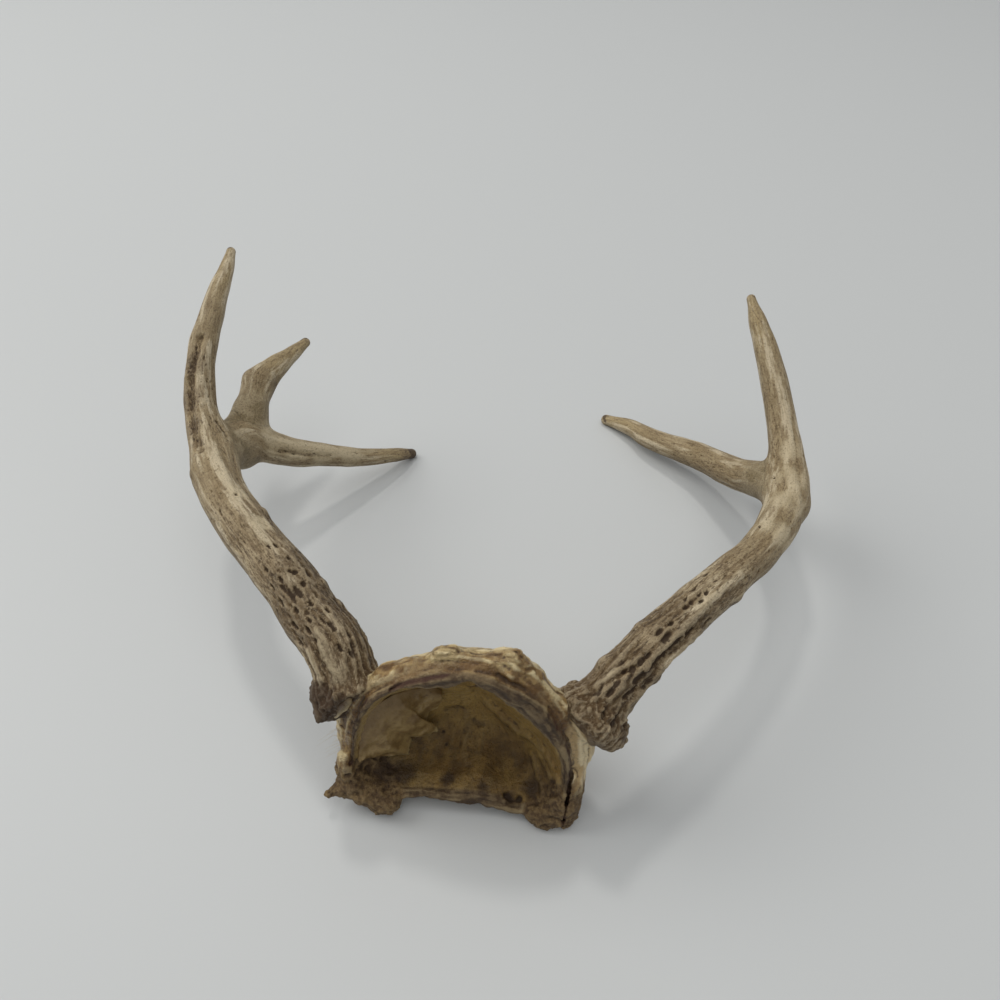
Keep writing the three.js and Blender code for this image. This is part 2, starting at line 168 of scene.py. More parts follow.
# The skull plate has its own frame: u to the right, d into the plate, w up it.
PLATE_ORIGIN = np.array([-10.0, -91.5, 0.0]) + CENTRING
PLATE_TURN = np.array(Matrix.Rotation(math.radians(-6), 3, "Z") @ Matrix.Rotation(math.radians(-10), 3, "X"))
PLATE_MIDDLE = np.array([0.0, 32.0])
PEDICLE_FEET = [(25.0, 13.0, 34.0), (-25.0, 13.0, 36.0)]     # in (u, d, w)

# Outlines of the plate in (u, w): its widest outline, the crack round the inner table, and the hollow's mouth.
BELLY = [
    (-39.5, 30), (-38.5, 35), (-35.5, 41.5), (-30.9, 47.5), (-27.7, 53.3), (-24.7, 58.4), (-19.6, 60.5),
    (-15.8, 62.4), (-10.8, 64.5), (-8.3, 67.9), (-6, 69.2), (-3.4, 69.2), (-1, 68.2), (3.8, 67.8),
    (8.6, 68.8), (12.1, 70.6), (14.2, 70.4), (15.6, 67.8), (18.2, 64.8), (20.8, 61.1), (22.6, 57.8),
    (25.6, 54.2), (28.8, 51.6), (32.2, 48.4), (35.7, 42.9), (37.5, 37), (37.8, 30.6), (36.4, 23.6),
    (34.8, 17), (33.5, 10), (28, 6), (14, 5.5), (-1, 5.5), (-18, 5.5), (-32, 5.5), (-38.5, 11), (-40, 20),
]
RIM = [
    (-34.6, 15), (-34.3, 24.5), (-33.3, 32.4), (-32.3, 36.8), (-30.8, 42.2), (-29, 47.4), (-27, 51.2),
    (-23.7, 54.8), (-19.7, 57.8), (-15.9, 60.1), (-11, 62.6), (-6.1, 64.3), (-1.9, 65.5), (0.4, 66.1),
    (4.6, 65.9), (8.1, 64.7), (11.7, 62.7), (15.9, 60.6), (18.9, 58.6), (21.4, 55.6), (24.1, 51.4),
    (26.1, 48), (28.3, 42.4), (30.4, 35.5), (31.4, 26.9), (31.1, 17.7), (30.8, 10), (28, 5), (20, 3), (12, 4),
    (5, 5.6), (-4, 6), (-10, 7), (-18, 6), (-26, 5), (-32.5, 7),
]
OPENING = [
    (-33, 13), (-33.4, 18.9), (-32.6, 27), (-31, 34.8), (-28.5, 42.5), (-25.5, 48), (-20.6, 53.6),
    (-16.1, 57), (-11.1, 58.6), (-6.3, 57.8), (-3.9, 57.8), (-0.8, 59.8), (1.6, 61.8), (2.8, 62.4),
    (4.2, 60.2), (5.8, 58.9), (8.2, 56.9), (10.7, 54.4), (13.8, 51.1), (17.6, 47.4), (20.9, 43.3),
    (24.2, 38.7), (27.2, 31.7), (28.3, 24.1), (28, 14.8), (24, 9), (17, 7.6), (11, 9.6), (5.2, 11.2),
    (-1, 11), (-7.9, 10.1), (-12.1, 10), (-18, 9), (-26, 9),
]
# Cracks between the two tables of bone: a line in (u, w), half its width and its depth.
CRACKS = [
    ([(-19.8, 56.8), (-17.8, 58.6), (-15.9, 60.0), (-13.4, 61.3), (-11, 62.5), (-8.5, 63.5), (-6.1, 64.2),
        (-3.7, 65)], 0.42, 1.0),
    ([(23.4, 52.6), (24.9, 50.4), (26.9, 46.3), (29.5, 39.5), (31, 33.4), (31.5, 26.9), (31.3, 20.1),
        (30.9, 10.5), (30.4, 3)], 0.48, 1.8),
    ([(-26.6, 52.8), (-29, 48), (-30.8, 42.2), (-32.3, 36.8), (-33.4, 32.4), (-34.3, 24.5), (-34.6, 20)],
        0.46, 1.8),
]
# Broken, spongy lower corners as lumps in (u, d, w): middle, half sizes.
CORNER_LUMPS = [
    ((-31, 2.5, 10), (9, 6, 9)), ((-25.5, -1.2, 5.2), (5.4, 4.6, 5.4)), ((-31.5, -0.6, 7.5), (5.2, 4.2, 5.6)),
    ((-36.5, 2, 16), (3.6, 4, 6.5)), ((29.5, 1.2, 8.5), (5.8, 4.6, 9)), ((23.4, -0.6, 4.2), (4.4, 3.6, 4.6)),
    ((30.8, -0.2, 4.4), (3.2, 2.8, 4.8)), ((33.2, 3, 18), (2.8, 4, 9)),
]
CORNER_LUMPS = [(np.array(c, float), np.array(h, float)) for c, h in CORNER_LUMPS]
SPLINTER = ((-34, 0.5, 10), (-41.8, -2.6, 7.0), 4.0, 1.7)
# The fold where each pedicle leaves the plate: two points in (u, w), the outer side to the right of them.
RIGHT_FOLD = ((38.5, 34.5), (24.5, 61.5))
LEFT_FOLD = ((-25.9, 58.0), (-36.6, 42.4))
# Lines inside the hollow in (u, d, w): half width, height, points.
HOLLOW_LINES = [
    (0.95, 1.0, [(4.1, 21.3, 28.7), (8.2, 21.1, 22.9), (12.8, 19.3, 19.2), (18.7, 15.2, 20.5),
        (23.0, 10.7, 22.6), (26.1, 6.4, 21.3), (28.0, 2.1, 19.0)]),
    (0.7, 0.6, [(0.2, 17.5, 40.5), (-3.1, 22.2, 26.6), (-2.3, 22.1, 20.0), (-2.4, 19.6, 15.2),
        (-2.2, 15.6, 12.5), (-1.0, 10.7, 11.5)]),
    (0.5, 0.6, [(19.0, 14.4, 14.3), (21.7, 8.9, 10.9), (24.1, 3.5, 10.0)]),
    (0.5, 0.6, [(22.0, 11.5, 16.5), (25.5, 5.5, 14.5), (27.0, 2.5, 14.0)]),
    (0.7, -0.5, [(-9.0, 21.0, 22.0), (-5.0, 22.0, 22.5), (-2.6, 22.2, 22.0)]),
    (0.6, -0.5, [(3.0, 20.5, 17.0), (-1.5, 21.0, 18.0), (-2.4, 19.6, 15.2)]),
]
# Dark holes and stained spots inside it: u, d, w, radius, depth cut. The dark colour in the deep holes is
# painted shade.
HOLLOW_HOLES = [
    (14.0, 1.6, 8.6, 1.8, 2.0), (16.8, 2.4, 7.6, 1.1, 1.5), (0.2, 19.1, 37.8, 1.6, 1.0),
    (-9.5, 18.9, 13.8, 0.7, 0.7), (-8.3, 15.8, 11.9, 0.6, 0.6), (-20.0, 6.0, 10.0, 4.0, 0.3),
    (-25.0, 4.5, 12.0, 4.0, 0.4), (5.5, 2.2, 11.1, 1.8, 0.2), (20.0, 5.0, 9.5, 3.0, 0.3),
    (-6.0, 4.5, 10.5, 2.0, 0.2),
]
# The dried membrane that has come off the left wall, in (u, d, w): where it still holds, and its torn edge.
MEMBRANE_ROOT = [
    (-33.0, 2.8, 20.0), (-33.0, 2.8, 27.0), (-31.0, 3.2, 35.0), (-27.5, 4.4, 42.0), (-21.5, 8.6, 44.0),
    (-17.2, 13.0, 41.5), (-12.6, 16.6, 38.5), (-9.4, 18.6, 35.5),
]
MEMBRANE_EDGE = [
    (-31.6, 3.6, 18.4), (-29.4, 5.6, 16.6), (-26.7, 7.4, 14.6), (-23.0, 9.0, 13.4), (-19.5, 10.2, 12.5),
    (-19.2, 12.7, 14.0), (-18.7, 14.7, 15.7), (-14.6, 15.8, 15.1), (-11.6, 17.3, 16.3), (-11.0, 18.0, 17.9),
    (-13.4, 17.6, 18.6), (-14.7, 17.5, 20.5), (-13.7, 17.8, 24.9), (-10.6, 18.5, 27.5), (-9.0, 18.6, 31.4),
]
SQUAMA = (np.array([33.5, 4.0, 34.0]), np.array([5.5, 6.0, 17.0]))     # the pale scale on the right side

# How the middle of the vault and of the hollow sinks with depth, and how deep they reach.
VAULT_DROP = (0, 6, 13, 20, 25), (0, 0, -3.5, -6, -7.5)
HOLLOW_DROP = (0, 6, 12, 17, 22), (0, -1.0, -4, -6.5, -8.5)
VAULT_START, VAULT_REACH, HOLLOW_REACH, VAULT_POWER = 6, 21.5, 22.5, 1.45
PEDICLE_RADII = 8.5, 8.0

# The two rows of small pearls round a burr: number, height over the foot, distance from the beam, size.
BURR_ROWS = ((15, 2.0, 1.6, 1.25), (11, 5.4, 0.4, 0.95))
# How high the details of the antlers and of the skull stand out, and how deep they are cut.
RIDGE_LIFT, FINE_RIDGE_LIFT, SWELL_LIFT, ROPE_LIFT, PEARL_LIFT, WORM_LIFT = 0.34, 0.13, 0.30, 0.50, 0.45, 0.5
PIT_DEPTH, NICK_DEPTH = 0.95, 0.26
FOLD_LIFT, LUMP_LIFT, LAYER_LIFT, SCALLOP_LIFT, CRUMB_LIFT, RAY_LIFT = 0.90, 0.50, 0.40, 0.45, 0.80, 0.16
HOLE_DEPTH, SMALL_HOLE_DEPTH, SUTURE_DEPTH = 1.2, 0.4, 0.4

MEMBRANE_THICKNESS, MEMBRANE_GRID = 0.18, (90, 46)
HAIR_COUNT, HAIR_RINGS, HAIR_SIDES = 14, 9, 4
HAIR_RADIUS, HAIR_LENGTH = 0.075, (2.5, 6.5)
HAIR_ZONE = ((-39.9, -38.6), (1.5, 5.5), (20.0, 33.0))     # where they start, in (u, d, w)

CELL = 0.47       # size of the cells that the surfaces are made from
SEARCH_BAND = 1.2                        # how many cells from the surface are kept in the search for it
FORK_BLEND = 7.0                         # how widely branches run into each other
ANTLER_SLACK, SKULL_SLACK = 0.25, 0.9    # how much wider the search is, for steep stretches of a field
BLOCK = 1024                             # points handled at a time
LIMB_SPACING = 300.0                     # how far apart the limbs lie in the straightened coordinates

# ---------------------------------------------------------------- noise

GRADIENTS = np.random.default_rng(11).normal(size=(256, 3))
GRADIENTS = (GRADIENTS / np.linalg.norm(GRADIENTS, axis=1)[:, None]).astype(np.float32)
CORNERS = np.array([(i, j, k) for i in (0, 1) for j in (0, 1) for k in (0, 1)])


def hashed(lattice, seed):
    """A scrambled 32-bit number for each lattice point."""
    x, y, z = (lattice[:, i].astype(np.uint32) for i in range(3))
    h = x * np.uint32(0x8DA6B343) ^ y * np.uint32(0xD8163841) ^ z * np.uint32(0xCB1AB31F)
    h ^= np.uint32((seed * 0x9E3779B1) & 0xFFFFFFFF)
    for shift, factor in ((15, 0x2C1B3C6D), (12, 0x297A2D39)):
        h ^= h >> np.uint32(shift)
        h *= np.uint32(factor)
    return h ^ (h >> np.uint32(15))


def noise(p, seed):
    """Smooth gradient noise, from about -1 to 1."""
    base = np.floor(p).astype(np.int64)
    f = (p - base).astype(np.float32)
    fade = f * f * f * (f * (f * 6 - 15) + 10)
    total = np.zeros(len(p), np.float32)
    for corner in CORNERS:
        g = GRADIENTS[hashed(base + corner, seed) & np.uint32(255)]
        weight = np.where(corner, fade, 1 - fade).prod(1)
        total += weight * (g * (f - corner)).sum(1)
    return total * 1.6


def fbm(p, octaves, seed, gain=0.5):
    total, size = 0.0, 1.0
    for octave in range(octaves):
        total = total + noise(p * 2.03 ** octave, seed + 31 * octave) * size
        size *= gain
    return total


def cells(p, seed):
    """Distance to the nearest of the points scattered one to a cell, and a random number of that point."""
    base = np.floor(p).astype(np.int64)
    first = np.full(len(p), 9.0, np.float32)
    owner = np.zeros(len(p), np.uint32)
    for i in (-1, 0, 1):
        for j in (-1, 0, 1):
            for k in (-1, 0, 1):
                lattice = base + (i, j, k)
                h = hashed(lattice, seed)
                jitter = np.stack([(h >> np.uint32(s)) & np.uint32(1023) for s in (0, 10, 20)], 1) / 1023.0
                d = np.linalg.norm(lattice + jitter - p, axis=1).astype(np.float32)
                closer = d < first
                owner = np.where(closer, h, owner)
                first = np.minimum(first, d)
    owner = owner * np.uint32(0x9E3779B1)
    return first, (owner >> np.uint32(8)) / 16777215.0


def ramp(x, low, high):
    """0 below low, 1 above high and smooth between; low may be above high."""
    t = np.clip((x - low) / (high - low), 0, 1)
    return t * t * (3 - 2 * t)


def as_share(x):
    """A value from -1 to 1 brought to 0 to 1."""
    return 0.5 + 0.5 * np.clip(x, -1, 1)


def run_along(points):
    """How far along a broken line each of its points lies."""
    return np.concatenate([[0], np.cumsum(np.linalg.norm(np.diff(points, axis=0), axis=1))])


def sampled(points, run, places):
    """Places on a broken line whose points lie at run."""
    return np.stack([np.interp(places, run, points[:, i]) for i in range(3)], -1)


def segment_gap(points, a, b):
    """Distance to the segment from a to b, and how far along it the nearest point is, as a share."""
    t = np.clip(((points - a) @ (b - a)) / ((b - a) @ (b - a)), 0, 1)
    return np.linalg.norm(points - a - t[:, None] * (b - a), axis=1), t


def line_gap(points, line):
    """Distance from points to a broken line, both in the plane or both in space."""
    line = np.array(line, float)
    best = np.full(len(points), FAR)
    for a, b in zip(line[:-1], line[1:]):
        best = np.minimum(best, segment_gap(points, a, b)[0])
    return best


def smooth_min(a, b, k):
    h = np.maximum(k - np.abs(a - b), 0) / k
    return np.minimum(a, b) - h * h * k * 0.25


def smooth_max(a, b, k):
    return -smooth_min(-a, -b, k)


# ---------------------------------------------------------------- surface of a distance field

def interleaved(cell):
    """A Z-order key, so that neighbours in space are neighbours in the arrays."""
    key = np.zeros(len(cell), np.int64)
    for axis in range(3):
        v = cell[:, axis].astype(np.int64)
        for shift, mask in ((16, 0x30000FF), (8, 0x300F00F), (4, 0x30C30C3), (2, 0x9249249)):
            v = (v | (v << shift)) & mask
        key |= v << axis
    return key


def surface(field, low, high, cell, slack):
    """Vertices and outward quads where field is 0, searched from coarse cells to fine ones."""
    low, high = np.array(low, float), np.array(high, float)
    size = cell * 8
    count = np.ceil((high - low) / size).astype(int)
    grid = np.stack(np.meshgrid(*(np.arange(n) for n in count), indexing="ij"), -1).reshape(-1, 3)
    while True:
        grid = grid[np.abs(field(low + (grid + 0.5) * size)) < SEARCH_BAND * size + slack]
        if size <= cell * 1.001:
            break
        size /= 2
        grid = (grid[:, None, :] * 2 + CORNERS).reshape(-1, 3)
    grid = grid[np.argsort(interleaved(grid))]
    corner = (grid[:, None, :] + CORNERS).reshape(-1, 3)
    _, index, inverse = np.unique(interleaved(corner), return_index=True, return_inverse=True)
    value = field(low + corner[index] * cell)[inverse].reshape(-1, 8)
    inside = value < 0
    mixed = inside.any(1) & ~inside.all(1)
    grid, value, inside = grid[mixed], value[mixed], inside[mixed]

    total = np.zeros((len(grid), 3))
    crossings = np.zeros(len(grid))
    for a in range(8):
        for b in range(a + 1, 8):
            if np.abs(CORNERS[a] - CORNERS[b]).sum() != 1:
                continue
            cut = inside[:, a] != inside[:, b]
            t = value[cut, a] / (value[cut, a] - value[cut, b])
            total[cut] += CORNERS[a] + t[:, None] * (CORNERS[b] - CORNERS[a])
            crossings[cut] += 1
    vertices = low + (grid + total / crossings[:, None]) * cell

    keys = interleaved(grid)
    quads = []
    for axis in range(3):
        along = 4 >> axis                      # the corner one step along this axis
        cut = np.nonzero(inside[:, 0] != inside[:, along])[0]
        step_b, step_c = np.roll(np.eye(3, dtype=int), axis, axis=1)[1:]
        ring = []
        for shift in (0 * step_b, step_b, step_b + step_c, step_c):
            wanted = interleaved(grid[cut] - shift)
            found = np.minimum(np.searchsorted(keys, wanted), len(keys) - 1)
            ring.append(np.where(keys[found] == wanted, found, -1))
        ring = np.stack(ring, 1)
        flip = ~inside[cut, 0]
        ring[flip] = ring[flip][:, ::-1]
        quads.append(ring[(ring >= 0).all(1)])
    quads = np.concatenate(quads)
    return vertices, quads


TETRAHEDRON = np.array([(1, -1, -1), (-1, -1, 1), (-1, 1, -1), (1, 1, 1)], float)


def slope(field, points, reach=0.12):
    """Value and gradient of a field."""
    value, gradient = 0.0, np.zeros((len(points), 3))
    for way in TETRAHEDRON:
        v = field(points + way * reach)
        value = value + v / 4
        gradient += v[:, None] * way / (4 * reach)
    return value, gradient


def settled(field, points, steps=2):
    """Points moved onto the surface, and their outward normals."""
    for _ in range(steps):
        value, gradient = slope(field, points)
        length2 = np.maximum((gradient ** 2).sum(1), 0.05)
        points = points - gradient * np.clip(value / length2, -0.6, 0.6)[:, None]
    _, gradient = slope(field, points)
    return points, gradient / np.maximum(np.linalg.norm(gradient, axis=1), 1e-6)[:, None]


def neighbour_mean(values, quads, rounds=1):
    """The mean of each vertex's neighbours along the edges."""
    a = quads.ravel()
    b = np.roll(quads, -1, axis=1).ravel()
    n = len(values)
    count = np.bincount(a, minlength=n) + np.bincount(b, minlength=n)
    flat = values.reshape(n, -1)
    for _ in range(rounds):
        flat = np.stack([
            (np.bincount(a, flat[b, i], n) + np.bincount(b, flat[a, i], n)) / np.maximum(count, 1)
            for i in range(flat.shape[1])], 1)
    return flat.reshape(values.shape)


# ---------------------------------------------------------------- limbs

class Limb:
    """A round limb along a smooth line, with its own frame: along, top and side."""

    def __init__(self, stations, step=1.5):
        stations = np.array(stations, float)
        nodes, diameters = stations[:, :3] + CENTRING, stations[:, 3]
        chord = np.concatenate([[0], np.cumsum(np.sqrt(np.linalg.norm(np.diff(nodes, axis=0), axis=1)))])
        slope_at = np.gradient(nodes, chord, axis=0)
        fine = np.linspace(0, chord[-1], 60 * len(stations))
        k = np.clip(np.searchsorted(chord, fine) - 1, 0, len(chord) - 2)
        h = chord[k + 1] - chord[k]
        t = ((fine - chord[k]) / h)[:, None]
        line = ((2 * t ** 3 - 3 * t ** 2 + 1) * nodes[k] + (t ** 3 - 2 * t ** 2 + t) * h[:, None] * slope_at[k]
                + (3 * t ** 2 - 2 * t ** 3) * nodes[k + 1] + (t ** 3 - t ** 2) * h[:, None] * slope_at[k + 1])
        share = ramp(t[:, 0], 0, 1)
        thick = diameters[k] * (1 - share) + diameters[k + 1] * share
        run = run_along(line)
        self.length = run[-1]
        self.s = np.linspace(0, self.length, int(round(self.length / step)) + 1)
        self.c = sampled(line, run, self.s)
        thick = np.interp(self.s, run, thick)
        self.r = np.convolve(np.pad(thick, 2, mode="edge"), [0.1, 0.2, 0.4, 0.2, 0.1], "valid") / 2
        along = np.gradient(self.c, axis=0)
        self.along = along / np.linalg.norm(along, axis=1)[:, None]
        top = np.array([0, 0, 1.0]) - self.along[:, 2:] * self.along
        self.top = top / np.linalg.norm(top, axis=1)[:, None]
        self.side = np.cross(self.along, self.top)
        self.middle = (self.c[1:] + self.c[:-1]) / 2

    def nearest(self, points):
        """Gap to the round limb, and the place of the nearest point as a segment number plus a share."""
        gap = np.full(len(points), FAR)
        place = np.zeros(len(points))
        for start in range(0, len(points), BLOCK):
            p = points[start:start + BLOCK]
            lo, hi = p.min(0), p.max(0)
            off = np.linalg.norm(np.maximum(np.maximum(lo - self.middle, self.middle - hi), 0), axis=1)
            near = np.nonzero(off < off.min() + np.linalg.norm(hi - lo) + 9)[0]
            a, d = self.c[near], self.c[near + 1] - self.c[near]
            d2 = (d * d).sum(1)
            along = p @ d.T - (a * d).sum(1)
            t = np.clip(along / d2, 0, 1)
            apart = (p * p).sum(1)[:, None] - 2 * p @ a.T + (a * a).sum(1) - t * (2 * along - t * d2)
            g = np.sqrt(np.maximum(apart, 0)) - (self.r[near] + t * (self.r[near + 1] - self.r[near]))
            best = g.argmin(1)
            rows = np.arange(len(p))
            gap[start:start + BLOCK] = g[rows, best]
            place[start:start + BLOCK] = near[best] + t[rows, best]
        return gap, place

    def gap(self, points):
        return self.nearest(points)[0]

    def at(self, name, place):
        k = np.clip(place.astype(int), 0, len(self.s) - 2)
        t = place - k
        values = getattr(self, name)
        if values.ndim == 2:
            t = t[:, None]
        return values[k] * (1 - t) + values[k + 1] * t

    def straightened(self, points, place):
        """Points as if the limb were straight: length along it, then the offset to its top and to its side."""
        off = points - self.at("c", place)
        beyond = (off * self.at("along", place)).sum(1)
        return np.stack([self.at("s", place) + beyond, (off * self.at("top", place)).sum(1),
                         (off * self.at("side", place)).sum(1)], 1)


# ---------------------------------------------------------------- antlers

def burr_pearls(limb, seed):
    """Small uneven pearls on the edge of the burr, as balls (x, y, z, radius)."""
    rng = np.random.default_rng(seed)
    foot, along, top, side = limb.c[0], limb.along[0], limb.top[0], limb.side[0]
    balls = []
    for row, (number, height, out, size) in enumerate(BURR_ROWS):
        for k in range(number):
            angle = (k + 0.4 * rng.normal()) * 2 * math.pi / number + row * 0.4
            reach = limb.r[0] + out + 0.5 * rng.normal()
            place = foot + along * (height + 0.9 * rng.normal())
            place = place + reach * (top * math.cos(angle) + side * math.sin(angle))
            balls.append((*place, size * (1 + 0.35 * rng.uniform(-1, 1))))
    return np.array(balls)


def balls_gap(balls, points, k=1.2):
    gap = np.full(len(points), FAR)
    middle = balls[:, :3].mean(0)
    reach = np.linalg.norm(balls[:, :3] - middle, axis=1).max() + 8
    close = np.linalg.norm(points - middle, axis=1) < reach
    if close.any():
        near = points[close]
        total = np.full(len(near), FAR)
        for x, y, z, r in balls:
            total = smooth_min(total, np.linalg.norm(near - (x, y, z), axis=1) - r, k)
        gap[close] = total
    far = ~close
    gap[far] = np.linalg.norm(points[far] - middle, axis=1) - reach + 6
    return gap


def plate_local(points):
    """Points in the plate's own frame (u, d, w)."""
    return (points - PLATE_ORIGIN) @ PLATE_TURN


def beyond_fold(p, fold):
    """How far points lie beyond a pedicle's fold, on its outer side."""
    (u0, w0), (u1, w1) = fold
    return ((w1 - w0) * (p[:, 0] - u0) - (u1 - u0) * (p[:, 2] - w0)) / math.hypot(u1 - u0, w1 - w0)


def behind_fold(p, fold):
    """Gap to the space that an antler or pedicle may fill, with p in the plate's frame.

    That space lies behind the front face, and reaches further forward beyond the fold."""
    return (0.9 - p[:, 1] - 1.0 * np.clip(beyond_fold(p, fold), -3, 30)) * 0.75


def on_skin(limb, point):
    """The point of a limb's round skin nearest to a point, with its outward, along and sideways directions."""
    p = np.array([point], float) + CENTRING
    _, place = limb.nearest(p)
    middle, along = limb.at("c", place)[0], limb.at("along", place)[0]
    out = p[0] - middle
    out -= (out @ along) * along
    out /= np.linalg.norm(out)
    return middle + out * limb.at("r", place)[0], out, along / np.linalg.norm(along), np.cross(along, out)


class Antler:
    def __init__(self, stem, branches, seed, fold, knobs, pits, lines, dirt, stains, worn):
        self.limbs = [Limb(stem)] + [Limb(b) for b in branches]
        self.pearls = burr_pearls(self.limbs[0], seed)
        self.knobs = np.array(knobs) + (*CENTRING, 0)
        self.seed, self.fold, self.pits, self.lines = seed, fold, pits, lines
        self.dirt, self.stains, self.worn = dirt, stains, worn
        self.foot, self.axis = self.limbs[0].c[0], self.limbs[0].along[0]

    def closest_limb(self, point):
        return min(self.limbs, key=lambda limb: limb.gap(np.array([point], float) + CENTRING)[0])

    def field(self, points):
        gap = self.limbs[0].gap(points)
        for limb in self.limbs[1:]:
            gap = smooth_min(gap, limb.gap(points), FORK_BLEND)
        low = np.linalg.norm(points - self.foot, axis=1) < 24
        if low.any():
            rel = points[low] - self.foot
            s = rel @ self.axis
            across = rel - s[:, None] * self.axis
            rho = np.linalg.norm(across, axis=1)
            turn = across / np.maximum(rho, 0.1)[:, None]
            ragged = noise(turn * 2.6, self.seed + 40)
            flange = np.hypot(rho - self.limbs[0].r[0] + 0.4, (s - 1.8) * 0.85) - (2.0 + 0.8 * ragged)
            gap[low] = smooth_min(gap[low], flange, 4.5)
        for x, y, z, r in self.knobs:
            near = np.abs(points - (x, y, z)).max(1) < 10
            if near.any():
                gap[near] = smooth_min(gap[near], np.linalg.norm(points[near] - (x, y, z), axis=1) - r, 3.0)
        gap = smooth_min(gap, balls_gap(self.pearls, points), 1.8)
        if low.any():
            p = points[low]
            local = plate_local(p)
            cut = np.maximum(behind_fold(local, self.fold), -2.5 - (p - self.foot) @ self.axis)
            cut = np.maximum(cut, 2.0 - self.skull.hollow(local))
            gap[low] = smooth_max(gap[low], cut, 1.5)
        return gap

    def box(self):
        ends = np.vstack([limb.c for limb in self.limbs])
        return ends.min(0) - 14, ends.max(0) + 14


def patches(points, spots, outer, inner, bend=0.0):
    """Soft round patches (x, y, z, reach and perhaps a strength) as one mask."""
    mask = np.zeros(len(points))
    for x, y, z, reach, *strength in spots:
        off = np.linalg.norm(points - CENTRING - (x, y, z), axis=1) + bend
        mask = np.maximum(mask, ramp(off, reach * outer, reach * inner) * (strength[0] if strength else 1.0))
    return mask


def straight_antler(antler, vertices):
    """The vertices as if every limb were straight, each limb's own far from the others'.

    With them come the length left to the limb's tip, the limb's radius and number, and a mask that is 0
    where two limbs meet."""
    gaps, places = zip(*(limb.nearest(vertices) for limb in antler.limbs))
    gaps = np.stack(gaps, 1)
    owner = gaps.argmin(1)
    ordered = np.sort(gaps, axis=1)
    seam = ramp(ordered[:, 1] - ordered[:, 0], 0.3, 4.0) if gaps.shape[1] > 1 else np.ones(len(vertices))
    q = np.zeros_like(vertices)
    to_tip, radius = np.zeros((2, len(vertices)))
    for k, limb in enumerate(antler.limbs):
        mine = owner == k
        straight = limb.straightened(vertices[mine], places[k][mine])
        q[mine] = straight + (LIMB_SPACING * k, 0, 0)
        to_tip[mine] = limb.length - straight[:, 0]
        radius[mine] = limb.at("r", places[k][mine])
    return q, to_tip, radius, owner, seam


def antler_marks(antler, vertices, bend):
    """Masks of the pits, grooves and crests seen in the photo, and the height of the lines."""
    marked, line_lift, groove, crest = np.zeros((4, len(vertices)))
    for x, y, z, half_length, half_width in antler.pits:
        point, out, along, side = on_skin(antler.closest_limb((x, y, z)), (x, y, z))
        rel = vertices - point
        close = np.abs(rel).max(1) < 7
        rel = rel[close]
        e = np.hypot((rel @ along) / half_length, (rel @ side) / half_width) + 0.8 * bend[close]
        e = e + 3 * (np.abs(rel @ out) > 3.5)
        marked[close] = np.maximum(marked[close], ramp(e, 1.0, 0.35))
    for half_width, height, line in antler.lines:
        off = line_gap(vertices, [on_skin(antler.closest_limb(p), p)[0] for p in line]) + 0.9 * bend
        share = ramp(off, half_width * 1.5, half_width * 0.2)
        line_lift += share * height
        if height < 0:
            groove = np.maximum(groove, share)
        else:
            crest = np.maximum(crest, share)
    return marked, line_lift, groove, crest


def raised(vertices, normals, quads, lift, rounds):
    """The vertices moved along their normals, and how hollow the surface then is at each of them."""
    moved = vertices + normals * lift[:, None]
    return moved, ((neighbour_mean(moved, quads, rounds) - moved) * normals).sum(1)


